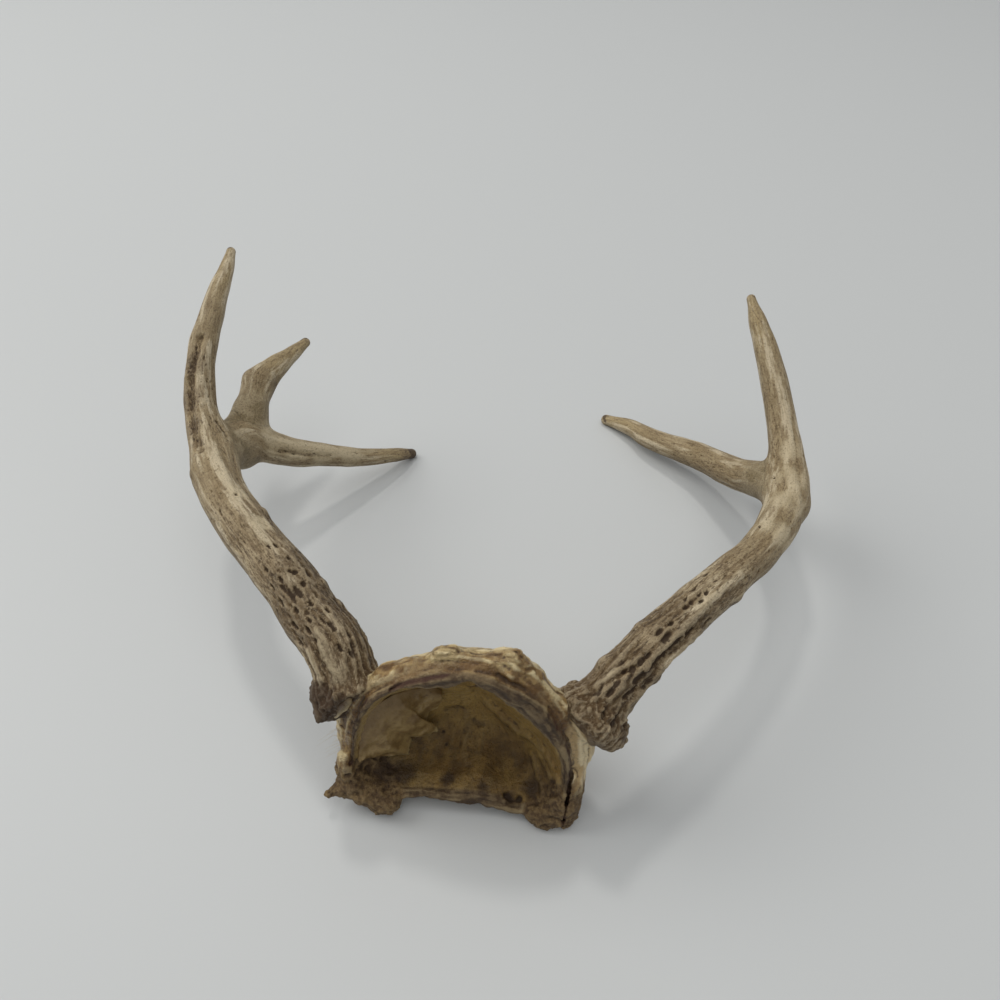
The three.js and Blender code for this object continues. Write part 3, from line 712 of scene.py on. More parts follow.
def carve_antler(antler, vertices, normals, quads):
    """Moves the surface along its normals and returns it with its masks, and the straightened coordinates."""
    seed = antler.seed
    q, to_tip, radius, owner, seam = straight_antler(antler, vertices)
    foot = np.where(owner == 0, q[:, 0], 120.0)
    web = np.where(owner == 0, 0.0, ramp(q[:, 0] - LIMB_SPACING * owner, 40, 16))
    web = np.maximum(web, 0.5 * (1 - seam))
    beam = ramp(foot, 105, 25)                 # 1 on the lower beam, 0 from the fork on
    near = ramp(foot, 46, 10)
    base = ramp(foot, 15, 2)
    tip = ramp(to_tip, 40, 5)

    bend = 0.5 * noise(vertices / 1.7, seed + 30)
    marked, line_lift, groove, crest = antler_marks(antler, vertices, bend)
    # Dark brown patches: painted shade round the burrs, a painted contact shadow where the beam tips meet the
    # floor, and darker tine tips.
    stain = patches(vertices, antler.stains, 1.25, 0.6, 2.0 * bend)
    # Painted highlight on the tops of the beams.
    worn = patches(vertices, antler.worn, 1.5, 0.5, 2.0 * bend)
    dirt = patches(vertices, antler.dirt, 1.4, 0.4)

    ridges = fbm(q / (42.0, 4.8, 4.8), 2, seed + 1) * seam
    fine_ridges = noise(q / (17.0, 1.9, 1.9), seed + 2) * seam
    swell = noise(vertices / 9.0, seed + 3)
    rope = ramp(np.abs(noise(q / (13.0, 3.0, 3.0), seed + 4)), 0.30, 0.02) * seam
    rope = rope * ramp(noise(q / (22.0, 7, 7), seed + 5), -0.35, 0.25)
    worm = ramp(np.abs(noise(q / (5.2, 3.1, 3.1), seed + 9)), 0.3, 0.0)
    where = noise(q / (20.0, 6.0, 6.0), seed + 7)
    twisted = q + 0.55 * np.stack([bend * 2, noise(q / 1.9, seed + 31), noise(q / 1.9, seed + 32)], 1)
    first, lot = cells(twisted / (4.6, 1.9, 1.9), seed + 6)
    chance = np.clip(0.01 + 0.10 * beam * (0.3 + dirt) + 0.16 * where * beam, 0.0, 0.3) * (1 - tip)
    pit = ramp(first, 0.55, 0.2) * (lot < chance) * seam
    first, lot = cells(twisted / (2.6, 0.95, 0.95), seed + 16)
    nick = ramp(first, 0.55, 0.25) * (lot < 0.10 + 0.34 * dirt + 0.14 * beam) * seam * (1 - tip)
    first, lot = cells(q / (2.7, 2.2, 2.2), seed + 8)
    pearl = ramp(first, 0.62, 0.1) * (lot < 0.1 + 0.6 * base + 0.15 * near)

    pit = np.maximum(pit * 0.85, marked)
    lift = (RIDGE_LIFT * ridges + FINE_RIDGE_LIFT * fine_ridges * (0.5 + 0.5 * beam) + SWELL_LIFT * swell
            + line_lift + (0.10 + ROPE_LIFT * near) * (rope - 0.25) * beam
            - PIT_DEPTH * pit - NICK_DEPTH * nick
            + PEARL_LIFT * pearl * base + WORM_LIFT * (worm - 0.35) * base)
    lift *= (1 - 0.7 * tip) * (1 - 0.65 * web) * np.clip(radius / 5, 0.25, 1)
    lift *= ramp(foot, -2.0, 0.5) * 0.8 + 0.2
    moved, hollow = raised(vertices, normals, quads, lift, 5)
    masks = {
        "pit": np.clip(pit + 0.8 * groove * (0.6 + 0.4 * fine_ridges) + 0.45 * nick, 0, 1),
        "hollow": np.clip(0.5 + hollow * 2.4, 0, 1),
        "grain": as_share(0.8 * ridges + 0.5 * fine_ridges + 0.6 * crest + 0.5 * rope * near - 0.3 * groove),
        # Dark-grain patches, some of them painted shade, and a darker lower beam, with painted shade on faces
        # that look down.
        "dirt": np.clip(dirt + (0.25 + 0.30 * where) * beam + 0.35 * ramp(normals[:, 2], 0.35, -0.5), 0, 1),
        # Painted shade on faces that look down.
        "flank": ramp(normals[:, 2], 0.55, -0.35),
        "base": base, "tip": tip, "beam": beam, "web": web, "stain": stain, "worn": worn,
    }
    return moved, masks, q


# ---------------------------------------------------------------- meshes

def mesh_object(name, vertices, quads, masks, coordinates=None):
    mesh = bpy.data.meshes.new(name)
    sides = quads.shape[1]
    mesh.vertices.add(len(vertices))
    mesh.vertices.foreach_set("co", (vertices * MM).astype(np.float32).ravel())
    mesh.loops.add(quads.size)
    mesh.loops.foreach_set("vertex_index", quads.astype(np.int32).ravel())
    mesh.polygons.add(len(quads))
    mesh.polygons.foreach_set("loop_start", np.arange(0, quads.size, sides, dtype=np.int32))
    mesh.update(calc_edges=True)
    mesh.validate()
    mesh.polygons.foreach_set("use_smooth", np.ones(len(mesh.polygons), bool))
    for key, values in masks.items():
        attribute = mesh.attributes.new(key, "FLOAT", "POINT")
        attribute.data.foreach_set("value", values.astype(np.float32))
    if coordinates is not None:
        attribute = mesh.attributes.new("straight", "FLOAT_VECTOR", "POINT")
        attribute.data.foreach_set("vector", coordinates.astype(np.float32).ravel())
    obj = bpy.data.objects.new(name, mesh)
    bpy.context.scene.collection.objects.link(obj)
    return obj


def grounded(vertices):
    """Whatever would reach below the floor is flattened onto it."""
    vertices[:, 2] = np.maximum(vertices[:, 2], 0)
    return vertices


# ---------------------------------------------------------------- materials

class Shader:
    """Wires the nodes of one material. A value is a node's output or a number, a tint an 8-bit sRGB colour."""

    def __init__(self, name):
        self.material = bpy.data.materials.new(name)
        self.material.use_nodes = True
        self.nodes, self.links = self.material.node_tree.nodes, self.material.node_tree.links
        self.bsdf = self.nodes["Principled BSDF"]

    def wire(self, source, socket):
        if isinstance(source, (int, float)):
            socket.default_value = source
        elif isinstance(source, tuple):
            socket.default_value = (*source, 1)
        else:
            self.links.new(source, socket)

    def attribute(self, name, output="Fac"):
        node = self.nodes.new("ShaderNodeAttribute")
        node.attribute_name = name
        return node.outputs[output]

    def masks(self, names):
        return [self.attribute(name) for name in names.split()]

    def millimetres(self):
        """The place on the object, in millimetres."""
        return self.scaled(self.nodes.new("ShaderNodeTexCoord").outputs["Object"], (1 / MM, 1 / MM, 1 / MM))

    def math(self, operation, a, b):
        node = self.nodes.new("ShaderNodeMath")
        node.operation = operation
        self.wire(a, node.inputs[0])
        self.wire(b, node.inputs[1])
        return node.outputs[0]

    def add(self, a, b):
        return self.math("ADD", a, b)

    def times(self, a, b):
        return self.math("MULTIPLY", a, b)

    def shifted(self, value, by, share, middle=0.5):
        """A value moved by a share of another one's distance from its middle."""
        return self.add(value, self.times(self.math("SUBTRACT", by, middle), share))

    def ramp(self, value, low, high, to_low=0.0, to_high=1.0):
        node = self.nodes.new("ShaderNodeMapRange")
        node.interpolation_type = "SMOOTHSTEP"
        for socket, source in zip(node.inputs, (value, low, high, to_low, to_high)):
            self.wire(source, socket)
        return node.outputs[0]

    def scaled(self, vector, scale):
        node = self.nodes.new("ShaderNodeVectorMath")
        node.operation = "MULTIPLY"
        self.wire(vector, node.inputs[0])
        node.inputs[1].default_value = scale
        return node.outputs[0]

    def noise(self, vector, scale, detail, roughness):
        node = self.nodes.new("ShaderNodeTexNoise")
        self.wire(vector, node.inputs["Vector"])
        for key, value in (("Scale", scale), ("Detail", detail), ("Roughness", roughness), ("Distortion", 0.0)):
            node.inputs[key].default_value = value
        return node.outputs["Fac"]

    def mix(self, share, a, b):
        node = self.nodes.new("ShaderNodeMix")
        node.data_type = "RGBA"
        self.wire(share, node.inputs[0])
        self.wire(a, node.inputs[6])
        self.wire(b, node.inputs[7])
        return node.outputs[2]

    def cover(self, colour, tint, share):
        return self.mix(share, colour, srgb(*tint))

    def tint(self, colour, tint, value, low, high, share):
        """A colour covered by a tint where a value nears high, by a share at most."""
        return self.cover(colour, tint, self.ramp(value, low, high, 0.0, share))

    def blend(self, value, low, high, start, end):
        """From one tint to another as a value goes from low to high."""
        return self.mix(self.ramp(value, low, high), srgb(*start), srgb(*end))

    def bump(self, height, distance, strength):
        node = self.nodes.new("ShaderNodeBump")
        node.inputs["Strength"].default_value = strength
        node.inputs["Distance"].default_value = distance
        self.wire(height, node.inputs["Height"])
        return node.outputs[0]

    def surface(self, colour, roughness, normal, specular=0.5):
        self.wire(colour, self.bsdf.inputs["Base Color"])
        self.wire(roughness, self.bsdf.inputs["Roughness"])
        self.wire(normal, self.bsdf.inputs["Normal"])
        self.bsdf.inputs["Specular IOR Level"].default_value = specular


def srgb(r, g, b):
    """Linear colour of an 8-bit sRGB colour."""
    return tuple(((v / 255) / 12.92 if v <= 10 else ((v / 255 + 0.055) / 1.055) ** 2.4) for v in (r, g, b))


def antler_material():
    m = Shader("antler_bone")
    straight, at = m.attribute("straight", "Vector"), m.millimetres()
    streak = m.noise(m.scaled(straight, (0.10, 0.9, 0.9)), 1.0, 4.0, 0.62)
    speck = m.noise(m.scaled(straight, (0.42, 1.5, 1.5)), 1.0, 4.0, 0.68)
    fine = m.noise(m.scaled(straight, (1.3, 3.6, 3.6)), 1.0, 3.0, 0.6)
    mottle = m.noise(at, 0.10, 4.0, 0.6)
    grit = m.noise(at, 1.5, 4.0, 0.72)
    broad = m.noise(at, 0.16, 3.0, 0.6)
    grain, hollow, pit, dirt, base, tip = m.masks("grain hollow pit dirt base tip")
    flank, beam, stain, web, worn = m.masks("flank beam stain web worn")
    on_beam = m.ramp(beam, 0.0, 0.6, 0.6, 1.0)

    colour = m.blend(mottle, 0.36, 0.64, (146, 127, 95), (180, 162, 129))
    colour = m.tint(colour, (160, 140, 102), m.math("SUBTRACT", 1.0, beam), 0.2, 1.0, 0.6)
    colour = m.tint(colour, (178, 157, 114), tip, 0.1, 1.0, 0.8)
    pale = m.add(m.times(grain, 0.8), m.times(streak, 0.9))
    colour = m.tint(colour, (218, 203, 172), pale, 0.84, 1.12, 0.85)
    # Dark brown from the dark-grain patches and the lower beam, with painted shade on faces that look down.
    colour = m.tint(colour, (100, 79, 46), m.shifted(dirt, mottle, 1.6), 0.42, 1.15, 0.8)
    brown = m.shifted(m.shifted(speck, dirt, 0.13, 0.30), grain, -0.16)
    brown = m.shifted(m.shifted(brown, fine, 0.25), beam, 0.035, 1.0)
    colour = m.cover(colour, (108, 86, 54), m.times(m.ramp(streak, 0.54, 0.38, 0.0, 0.7), on_beam))
    colour = m.tint(colour, (92, 71, 42), brown, 0.47, 0.62, 0.78)
    colour = m.tint(colour, (58, 42, 23), brown, 0.60, 0.69, 0.8)
    matt = m.blend(broad, 0.40, 0.60, (164, 148, 116), (126, 110, 76))
    matt = m.tint(matt, (88, 72, 44), grit, 0.5, 0.66, 0.45)
    matt = m.tint(matt, (164, 148, 114), streak, 0.56, 0.68, 0.4)
    colour = m.mix(m.ramp(m.shifted(web, mottle, 0.8), 0.15, 0.95, 0.0, 0.8), colour, matt)
    # Painted shade on the undersides of the beams.
    colour = m.cover(colour, (80, 61, 37), m.times(m.ramp(flank, 0.1, 1.0, 0.0, 0.5), on_beam))
    colour = m.tint(colour, (72, 53, 30), hollow, 0.53, 0.95, 0.7)
    colour = m.tint(colour, (96, 72, 42), base, 0.0, 1.0, 0.45)
    colour = m.tint(colour, (180, 162, 128), hollow, 0.46, 0.10, 0.4)
    # Painted highlight: pale patches on the tops of the beams.
    colour = m.tint(colour, (208, 192, 158), m.shifted(worn, grain, 1.2), 0.2, 1.2, 0.75)
    colour = m.tint(colour, (84, 66, 42), grit, 0.52, 0.66, 0.55)
    colour = m.tint(colour, (196, 180, 146), grit, 0.46, 0.34, 0.35)
    # Dark brown patches: painted shade round the burrs, a painted contact shadow where the beam tips meet the
    # floor, and darker tine tips.
    colour = m.tint(colour, (60, 40, 21), m.shifted(stain, speck, 0.9), 0.25, 0.9, 0.8)
    colour = m.tint(colour, (56, 40, 23), m.shifted(pit, fine, 0.9), 0.3, 0.9, 0.85)
    roughness = m.ramp(m.add(hollow, m.times(fine, 0.5)), 0.45, 1.05, 0.44, 0.8)
    height = m.add(m.times(fine, 0.5), m.times(speck, -0.9))
    m.surface(colour, roughness, m.bump(height, 0.0010, 0.8), 0.45)
    return m.material


# ---------------------------------------------------------------- skull plate

class Outline:
    """A closed line round the plate's middle, in (u, w), read as a radius by angle."""

    def __init__(self, points, blur=0):
        p = np.array(points, float) - PLATE_MIDDLE
        p = p[np.argsort(np.arctan2(p[:, 1], p[:, 0]))]
        p = np.vstack([p[-2:], p, p[:2]])
        fine = []
        for a, b, c, d in zip(p[:-3], p[1:-2], p[2:-1], p[3:]):
            t = np.linspace(0, 1, 24, endpoint=False)[:, None]
            fine.append(0.5 * (2 * b + (c - a) * t + (2 * a - 5 * b + 4 * c - d) * t ** 2
                               + (3 * b - a - 3 * c + d) * t ** 3))
        fine = np.vstack(fine)
        angle = np.arctan2(fine[:, 1], fine[:, 0])
        order = np.argsort(angle)
        self.angles = np.linspace(-math.pi, math.pi, 721)
        radii = np.linalg.norm(fine, axis=1)
        self.radii = np.interp(self.angles, angle[order], radii[order], period=2 * math.pi)
        for _ in range(blur):
            ring = self.radii[:-1]
            ring = (np.roll(ring, 2) + np.roll(ring, 1) + ring + np.roll(ring, -1) + np.roll(ring, -2)) / 5
            self.radii = np.append(ring, ring[0])

    def radius(self, angle):
        return np.interp(angle, self.angles, self.radii)


def ellipsoid_gap(p, centre, half):
    q = (p - centre) / half
    k0 = np.linalg.norm(q, axis=1)
    k1 = np.maximum(np.linalg.norm(q / half, axis=1), 1e-6)
    return k0 * (k0 - 1) / k1


def softened(line):
    """A broken line made round."""
    line = np.array(line, float)
    run = np.linspace(0, len(line) - 1, 40)
    dense = sampled(line, np.arange(len(line)), run)
    padded = np.pad(dense, ((5, 5), (0, 0)), mode="reflect", reflect_type="odd")
    return np.stack([np.convolve(padded[:, i], np.ones(11) / 11, "valid") for i in range(3)], 1)


def cone_gap(p, a, b, ra, rb):
    """Gap to a rounded cone from a to b."""
    off, t = segment_gap(p, np.array(a, float), np.array(b, float))
    return off - (ra + t * (rb - ra))


def crack_waver(p):
    """Makes the cracks wander, thin out and close here and there."""
    return 0.13 * noise(p / 2.3, 61) + 0.26 * ramp(noise(p / 6.0, 62), -0.1, 0.6)


class Skull:
    def __init__(self, antlers):
        self.belly, self.dome = Outline(BELLY), Outline(BELLY, 160)
        self.rim, self.opening = Outline(RIM), Outline(OPENING)
        self.inner = Outline(OPENING, 40)
        self.pedicles = []
        for antler, foot in zip(antlers, PEDICLE_FEET):
            antler.skull = self
            stem = antler.limbs[0]
            head = plate_local((stem.c[0] + stem.along[0] * 2.0)[None])[0]
            self.pedicles.append((np.array(foot), head, antler.fold))

    def world(self, points):
        return points @ PLATE_TURN.T + PLATE_ORIGIN

    def polar(self, p, drop):
        u, w = p[:, 0] - PLATE_MIDDLE[0], p[:, 2] - PLATE_MIDDLE[1] - drop
        return np.hypot(u, w), np.arctan2(w, u)

    def outside(self, p):
        """The vault's outer surface: bluntly conical behind the rim."""
        rho, angle = self.polar(p, np.interp(p[:, 1], *VAULT_DROP))
        front = ramp(p[:, 1], 0.2, VAULT_START)
        deep = ramp(p[:, 1], VAULT_START, 15)
        radius = self.rim.radius(angle) * (1 - front) + self.belly.radius(angle) * front
        radius = radius * (1 - deep) + self.dome.radius(angle) * deep
        x = np.clip((p[:, 1] - VAULT_START) / VAULT_REACH, 0, None)
        return ((rho / radius) ** 2 + x ** VAULT_POWER - 1) * 15

    def hollow(self, p):
        """The space that the braincase's roof covers."""
        rho, angle = self.polar(p, np.interp(p[:, 1], *HOLLOW_DROP))
        deep = ramp(p[:, 1], 1.5, 8)
        radius = self.opening.radius(angle) * (1 - deep) + self.inner.radius(angle) * deep
        x = np.clip(p[:, 1] / HOLLOW_REACH, 0, None)
        return ((rho / radius) ** 2 + x ** VAULT_POWER - 1) * 13

    def band(self, p):
        """Share of the way over the rim: 0 at the hollow, 1 at the crack round the inner table."""
        rho, angle = self.polar(p, 0.0)
        inner, outer = self.opening.radius(angle), self.rim.radius(angle)
        return (rho - inner) / np.maximum(outer - inner, 1), rho, angle, outer

    def field(self, points):
        p = plate_local(points)
        share = self.band(p)[0]
        face = (-1.1 * ramp(share, 0.1, 0.7) * ramp(share, 1.12, 0.8) + 1.6 * ramp(share, 0.45, -0.1)
                + 0.5 * ramp(share, 0.9, 1.1))
        gap = smooth_max(self.outside(p), face - p[:, 1], 1.2)
        for centre, half in CORNER_LUMPS:
            gap = smooth_min(gap, ellipsoid_gap(p, centre, half), 2.2)
        gap = smooth_min(gap, cone_gap(p, *SPLINTER), 2.0)
        for foot, head, fold in self.pedicles:
            stalk = smooth_max(cone_gap(p, foot, head, *PEDICLE_RADII), behind_fold(p, fold), 1.2)
            gap = smooth_min(gap, stalk, 2.2)
        gap = smooth_max(gap, -self.hollow(p), 2.4)
        plane = p[:, [0, 2]]
        near = np.abs(p[:, 1]) < 6
        if near.any():
            for line, half_width, depth in CRACKS:
                off = line_gap(plane[near], line) + crack_waver(p[near])
                cut = np.maximum(off - half_width * ramp(p[near, 1], depth, 0), p[near, 1] - depth)
                gap[near] = smooth_max(gap[near], -cut, 0.4)
        return gap

    def box(self):
        corners = np.array([(u, d, w) for u in (-48, 46) for d in (-9, 32) for w in (-3, 76)], float)
        corners = self.world(corners)
        return corners.min(0), corners.max(0)


def hollow_marks(p, in_hollow, bend):
    """What the lines and holes inside the hollow do: their lift, then masks of grooves with a painted shadow
    below each ridge, of the ridges, and of the dark holes and stained spots.
    """
    line_lift, groove, crest, stain = np.zeros((4, len(p)))
    for half_width, height, line in HOLLOW_LINES:
        line = softened(line)
        here = ramp(line_gap(p, line) + 2 * bend, half_width * 2.8, half_width * 0.2) * in_hollow
        line_lift += here * height
        if height < 0:
            groove = np.maximum(groove, here * 0.5)
        else:
            crest = np.maximum(crest, here)
            # Painted shadow: a dark band just below each ridge.
            shadow_below_ridge = ramp(line_gap(p + (0, 0, 1.8), line) + bend, half_width * 2.2, half_width * 0.4)
            groove = np.maximum(groove, 0.55 * shadow_below_ridge * in_hollow * (1 - here))
    for u, d, w, reach, cut in HOLLOW_HOLES:
        here = ramp(np.linalg.norm(p - (u, d, w), axis=1) + 2.2 * bend, reach * 1.5, reach * 0.5)
        line_lift -= here * cut
        stain = np.maximum(stain, here)
    return line_lift, groove, crest, stain


def sutures(p, in_hollow):
    """A mask of the zigzag seams on the back of the vault: the midline and the coronal suture."""
    zigzag = 1.3 * noise(p / (2.0, 2.6, 2.0), 85) + 0.6 * noise(p / 0.9, 86)
    facing = ramp(p[:, 1], 9, 13) * (1 - in_hollow)
    midline = ramp(np.abs(p[:, 0] + 0.5 + zigzag), 0.75, 0.2) * facing * ramp(p[:, 2], 8, 14)
    coronal = ramp(np.abs(p[:, 2] - 37 + 0.010 * p[:, 0] ** 2 + zigzag), 0.75, 0.2) * facing
    coronal = coronal * ramp(np.abs(p[:, 0]), 31, 26)
    return np.maximum(midline, coronal) * ramp(noise(p / 6.0, 87), -0.6, -0.1)


def carve_skull(skull, vertices, normals, quads):
    """The same for the skull plate, returned with its masks and its places in the plate's own frame."""
    p = plate_local(vertices)
    share, rho, angle, rim = skull.band(p)
    depth = p[:, 1]
    in_hollow = ramp(np.abs(skull.hollow(p)), 1.6, 0.4) * ramp(depth, 0.6, 2.0)
    corner = np.full(len(p), FAR)
    for centre, half in CORNER_LUMPS:
        corner = np.minimum(corner, ellipsoid_gap(p, centre, half))
    corner = np.minimum(corner, cone_gap(p, *SPLINTER))
    sponge = ramp(corner, 2.5, 0.2) * ramp(p[:, 2], 24, 14)
    band = ramp(share, -0.25, 0.05) * ramp(share, 1.06, 0.94) * ramp(depth, 2.6, 1.2) * (1 - sponge)
    outer = (1 - in_hollow) * (1 - band) * (1 - sponge)
    back = outer * ramp(depth, 8, 18)
    crack, stalk = np.zeros((2, len(p)))
    for line, half_width, _ in CRACKS:
        off = line_gap(p[:, [0, 2]], line) + crack_waver(p)
        crack = np.maximum(crack, ramp(off, half_width + 0.28, half_width - 0.1) * ramp(depth, 1.2, 0.2))
    for _, head, fold in skull.pedicles:
        near = ramp(np.linalg.norm(p - head, axis=1), 17, 9)
        stalk = np.maximum(stalk, near * ramp(beyond_fold(p, fold), -1.0, 1.5))
    stalk *= 1 - in_hollow

    line_lift, groove, crest, stain = hollow_marks(p, in_hollow, 0.4 * noise(p / 1.9, 84))
    suture = sutures(p, in_hollow)
    round_q = np.stack([angle * 30, rho * 0.25, depth * 0.35], 1)
    rays = noise(np.stack([angle * 14, rho * 0.10, depth * 0.12], 1), 88)
    fibres = fbm(round_q / (2.2, 2.2, 2.2), 2, 71)
    lumps = fbm(vertices / 5.5, 3, 72)
    fine = noise(vertices / 1.6, 73)
    bent = vertices + 0.7 * np.stack([noise(vertices / 2.1, seed) for seed in (81, 82, 83)], 1)
    first, lot = cells(bent / 3.3, 74)
    holes = ramp(first, 0.5, 0.12) * (lot < 0.26)
    first, lot = cells(bent / 1.6, 75)
    small_holes = ramp(first, 0.5, 0.2) * (lot < 0.28)
    crumbs = fbm(vertices / 4.2, 4, 77, 0.62)
    folds = fbm(np.stack([angle * 1.6 + 0.3 * lumps, (rho - rim) / 2.6 + 0.4 * lumps, depth / 2.4], 1), 2, 79)
    layers = fbm(np.stack([angle * 2.4 + 0.25 * lumps, share * 3.2 + 0.5 * lumps, depth * 1.3], 1), 2, 78)
    scallop = noise(np.stack([angle * 9, share * 1.3, depth * 0.2], 1), 76)

    lift = (outer * (LUMP_LIFT * lumps * (1 - 0.6 * back) + FOLD_LIFT * folds * (1 - 0.8 * back)
                     + 0.15 * fibres + 0.06 * fine)
            + band * (SCALLOP_LIFT * scallop + LAYER_LIFT * layers + 0.14 * fine)
            + in_hollow * (0.30 * lumps + 0.10 * fibres + RAY_LIFT * rays) + line_lift - SUTURE_DEPTH * suture
            + sponge * (0.4 * lumps + CRUMB_LIFT * crumbs - HOLE_DEPTH * holes - SMALL_HOLE_DEPTH * small_holes)
            + stalk * 0.35 * lumps)
    moved, hollow = raised(vertices, normals, quads, lift, 4)
    masks = {
        "inside": in_hollow, "band": band, "sponge": sponge, "back": back, "crack": crack, "stalk": stalk,
        # Dark holes, stained spots and grooves, with the painted shadow below each ridge and painted shade in
        # the deep holes.
        "stain": np.clip(np.maximum(stain, groove), 0, 1), "suture": suture, "crest": crest,
        # Painted shade in the dip just outside the crack round the inner table.
        "valley": ramp(rho - rim, 3.2, 0.8) * (1 - in_hollow) * (1 - band) * ramp(depth, 9, 5),
        "hollow": np.clip(0.5 + hollow * 2.0, 0, 1),
        "rays": as_share(rays), "layers": as_share(layers), "folds": as_share(folds),
        "left": ramp(p[:, 0], -14, -30), "low": ramp(p[:, 2], 26, 8),
        "plate": ramp(ellipsoid_gap(p, *SQUAMA), 1.5, -1.0) * (1 - in_hollow),
    }
    return moved, masks, p


def skull_material():
    m = Shader("skull_bone")
    at = m.millimetres()
    broad = m.noise(at, 0.09, 3.0, 0.55)
    mottle = m.noise(at, 0.35, 4.0, 0.6)
    fine = m.noise(at, 1.6, 3.0, 0.6)
    grit = m.noise(at, 1.1, 4.0, 0.7)
    inside, band, sponge, back, crack, stalk = m.masks("inside band sponge back crack stalk")
    hollow, layers, folds, left, low, plate = m.masks("hollow layers folds left low plate")
    stain, suture, rays, crest, valley = m.masks("stain suture rays crest valley")

    ochre = m.blend(mottle, 0.4, 0.62, (166, 137, 88), (120, 91, 50))
    ochre = m.tint(ochre, (198, 177, 130), broad, 0.5, 0.62, 0.75)
    # Painted highlight on the crests of the folds and painted shade in the dips between them.
    ochre = m.tint(ochre, (228, 210, 164), folds, 0.52, 0.74, 0.85)
    ochre = m.tint(ochre, (88, 60, 26), folds, 0.47, 0.22, 0.85)
    streak = m.noise(m.scaled(m.attribute("straight", "Vector"), (0.16, 0.9, 0.9)), 1.0, 4.0, 0.65)
    ochre = m.tint(ochre, (104, 74, 34), streak, 0.54, 0.66, 0.55)
    ochre = m.cover(ochre, (152, 124, 80), m.times(back, 0.84))
    grey = m.blend(mottle, 0.4, 0.6, (116, 97, 68), (78, 59, 36))
    grey = m.tint(grey, (150, 131, 96), layers, 0.52, 0.8, 0.75)
    grey = m.tint(grey, (56, 40, 23), layers, 0.46, 0.22, 0.8)
    deep = m.blend(broad, 0.35, 0.65, (170, 140, 80), (148, 117, 62))
    deep = m.tint(deep, (98, 74, 38), mottle, 0.40, 0.80, 0.35)
    deep = m.tint(deep, (84, 62, 32), grit, 0.54, 0.68, 0.5)
    deep = m.cover(deep, (146, 124, 78), m.times(left, m.ramp(broad, 0.35, 0.6, 0.3, 0.7)))
    deep = m.tint(deep, (150, 130, 88), rays, 0.55, 0.8, 0.35)
    # Darker towards the bottom of the hollow.
    bottom_darkening = m.ramp(m.add(mottle, m.times(broad, 0.7)), 0.62, 1.12, 0.3, 0.72)
    deep = m.cover(deep, (62, 44, 24), m.times(low, bottom_darkening))
    crumb = m.blend(mottle, 0.36, 0.64, (116, 93, 58), (87, 66, 40))
    crumb = m.tint(crumb, (60, 43, 25), grit, 0.50, 0.66, 0.6)
    crumb = m.tint(crumb, (150, 128, 88), grit, 0.44, 0.32, 0.55)
    crumb = m.tint(crumb, (146, 124, 84), hollow, 0.44, 0.15, 0.35)
    # Painted highlight along the ridges inside the hollow.
    deep = m.tint(deep, (160, 136, 90), m.times(crest, m.ramp(mottle, 0.3, 0.6)), 0.3, 0.9, 0.4)
    # Painted shade in the dip just outside the crack round the inner table.
    ochre = m.tint(ochre, (102, 72, 34), m.shifted(valley, mottle, 1.4), 0.4, 1.0, 0.6)
    pale = m.blend(folds, 0.35, 0.65, (192, 165, 118), (236, 218, 176))
    colour = m.mix(plate, ochre, pale)
    # Dark brown on the pedicles, partly their own colour and partly painted shade.
    colour = m.cover(colour, (84, 62, 36), m.times(stalk, 0.9))
    colour = m.mix(band, colour, grey)
    colour = m.mix(inside, colour, deep)
    colour = m.mix(sponge, colour, crumb)
    colour = m.tint(colour, (84, 62, 36), grit, 0.56, 0.70, 0.5)
    colour = m.tint(colour, (62, 44, 25), hollow, 0.58, 0.98, 0.75)
    colour = m.cover(colour, (92, 64, 34), m.times(suture, 0.7))
    # Dark holes, stained spots and grooves, with the painted shadow below each ridge and painted shade in the
    # deep holes.
    colour = m.cover(colour, (50, 33, 17), m.times(stain, 0.8))
    colour = m.cover(colour, (66, 33, 19), m.times(crack, 0.9))
    dull = m.add(m.times(fine, 0.25), m.times(m.math("MAXIMUM", sponge, band), 0.25))
    height = m.add(m.times(fine, 0.5), m.times(grit, 0.9))
    m.surface(colour, m.ramp(dull, 0.05, 0.42, 0.26, 0.72), m.bump(height, 0.0009, 0.8))
    return m.material


# ---------------------------------------------------------------- the pieces

def bone(name, shape, slack, carve, material):
    """One continuous surface, found, settled on its field, carved and kept above the floor."""
    vertices, quads = surface(shape.field, *shape.box(), CELL, slack)
    vertices, normals = settled(shape.field, vertices)
    vertices, masks, straight = carve(shape, vertices, normals, quads)
    obj = mesh_object(name, grounded(vertices), quads, masks, straight)
    obj.data.materials.append(material)
    return obj


def build_antler(name, antler, material, nodes):
    obj = bone(name, antler, ANTLER_SLACK, carve_antler, material)
    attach(obj, "root")
    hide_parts(*nodes)


def build_plate(skull):
    plate = bone("skull_plate_bone", skull, SKULL_SLACK, carve_skull, skull_material())
    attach(plate, "root")
    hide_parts("skull_plate")


def along_line(points, share):
    """Points at shares of the length of a broken line."""
    points = np.array(points, float)
    run = run_along(points)
    return sampled(points, run, share * run[-1])


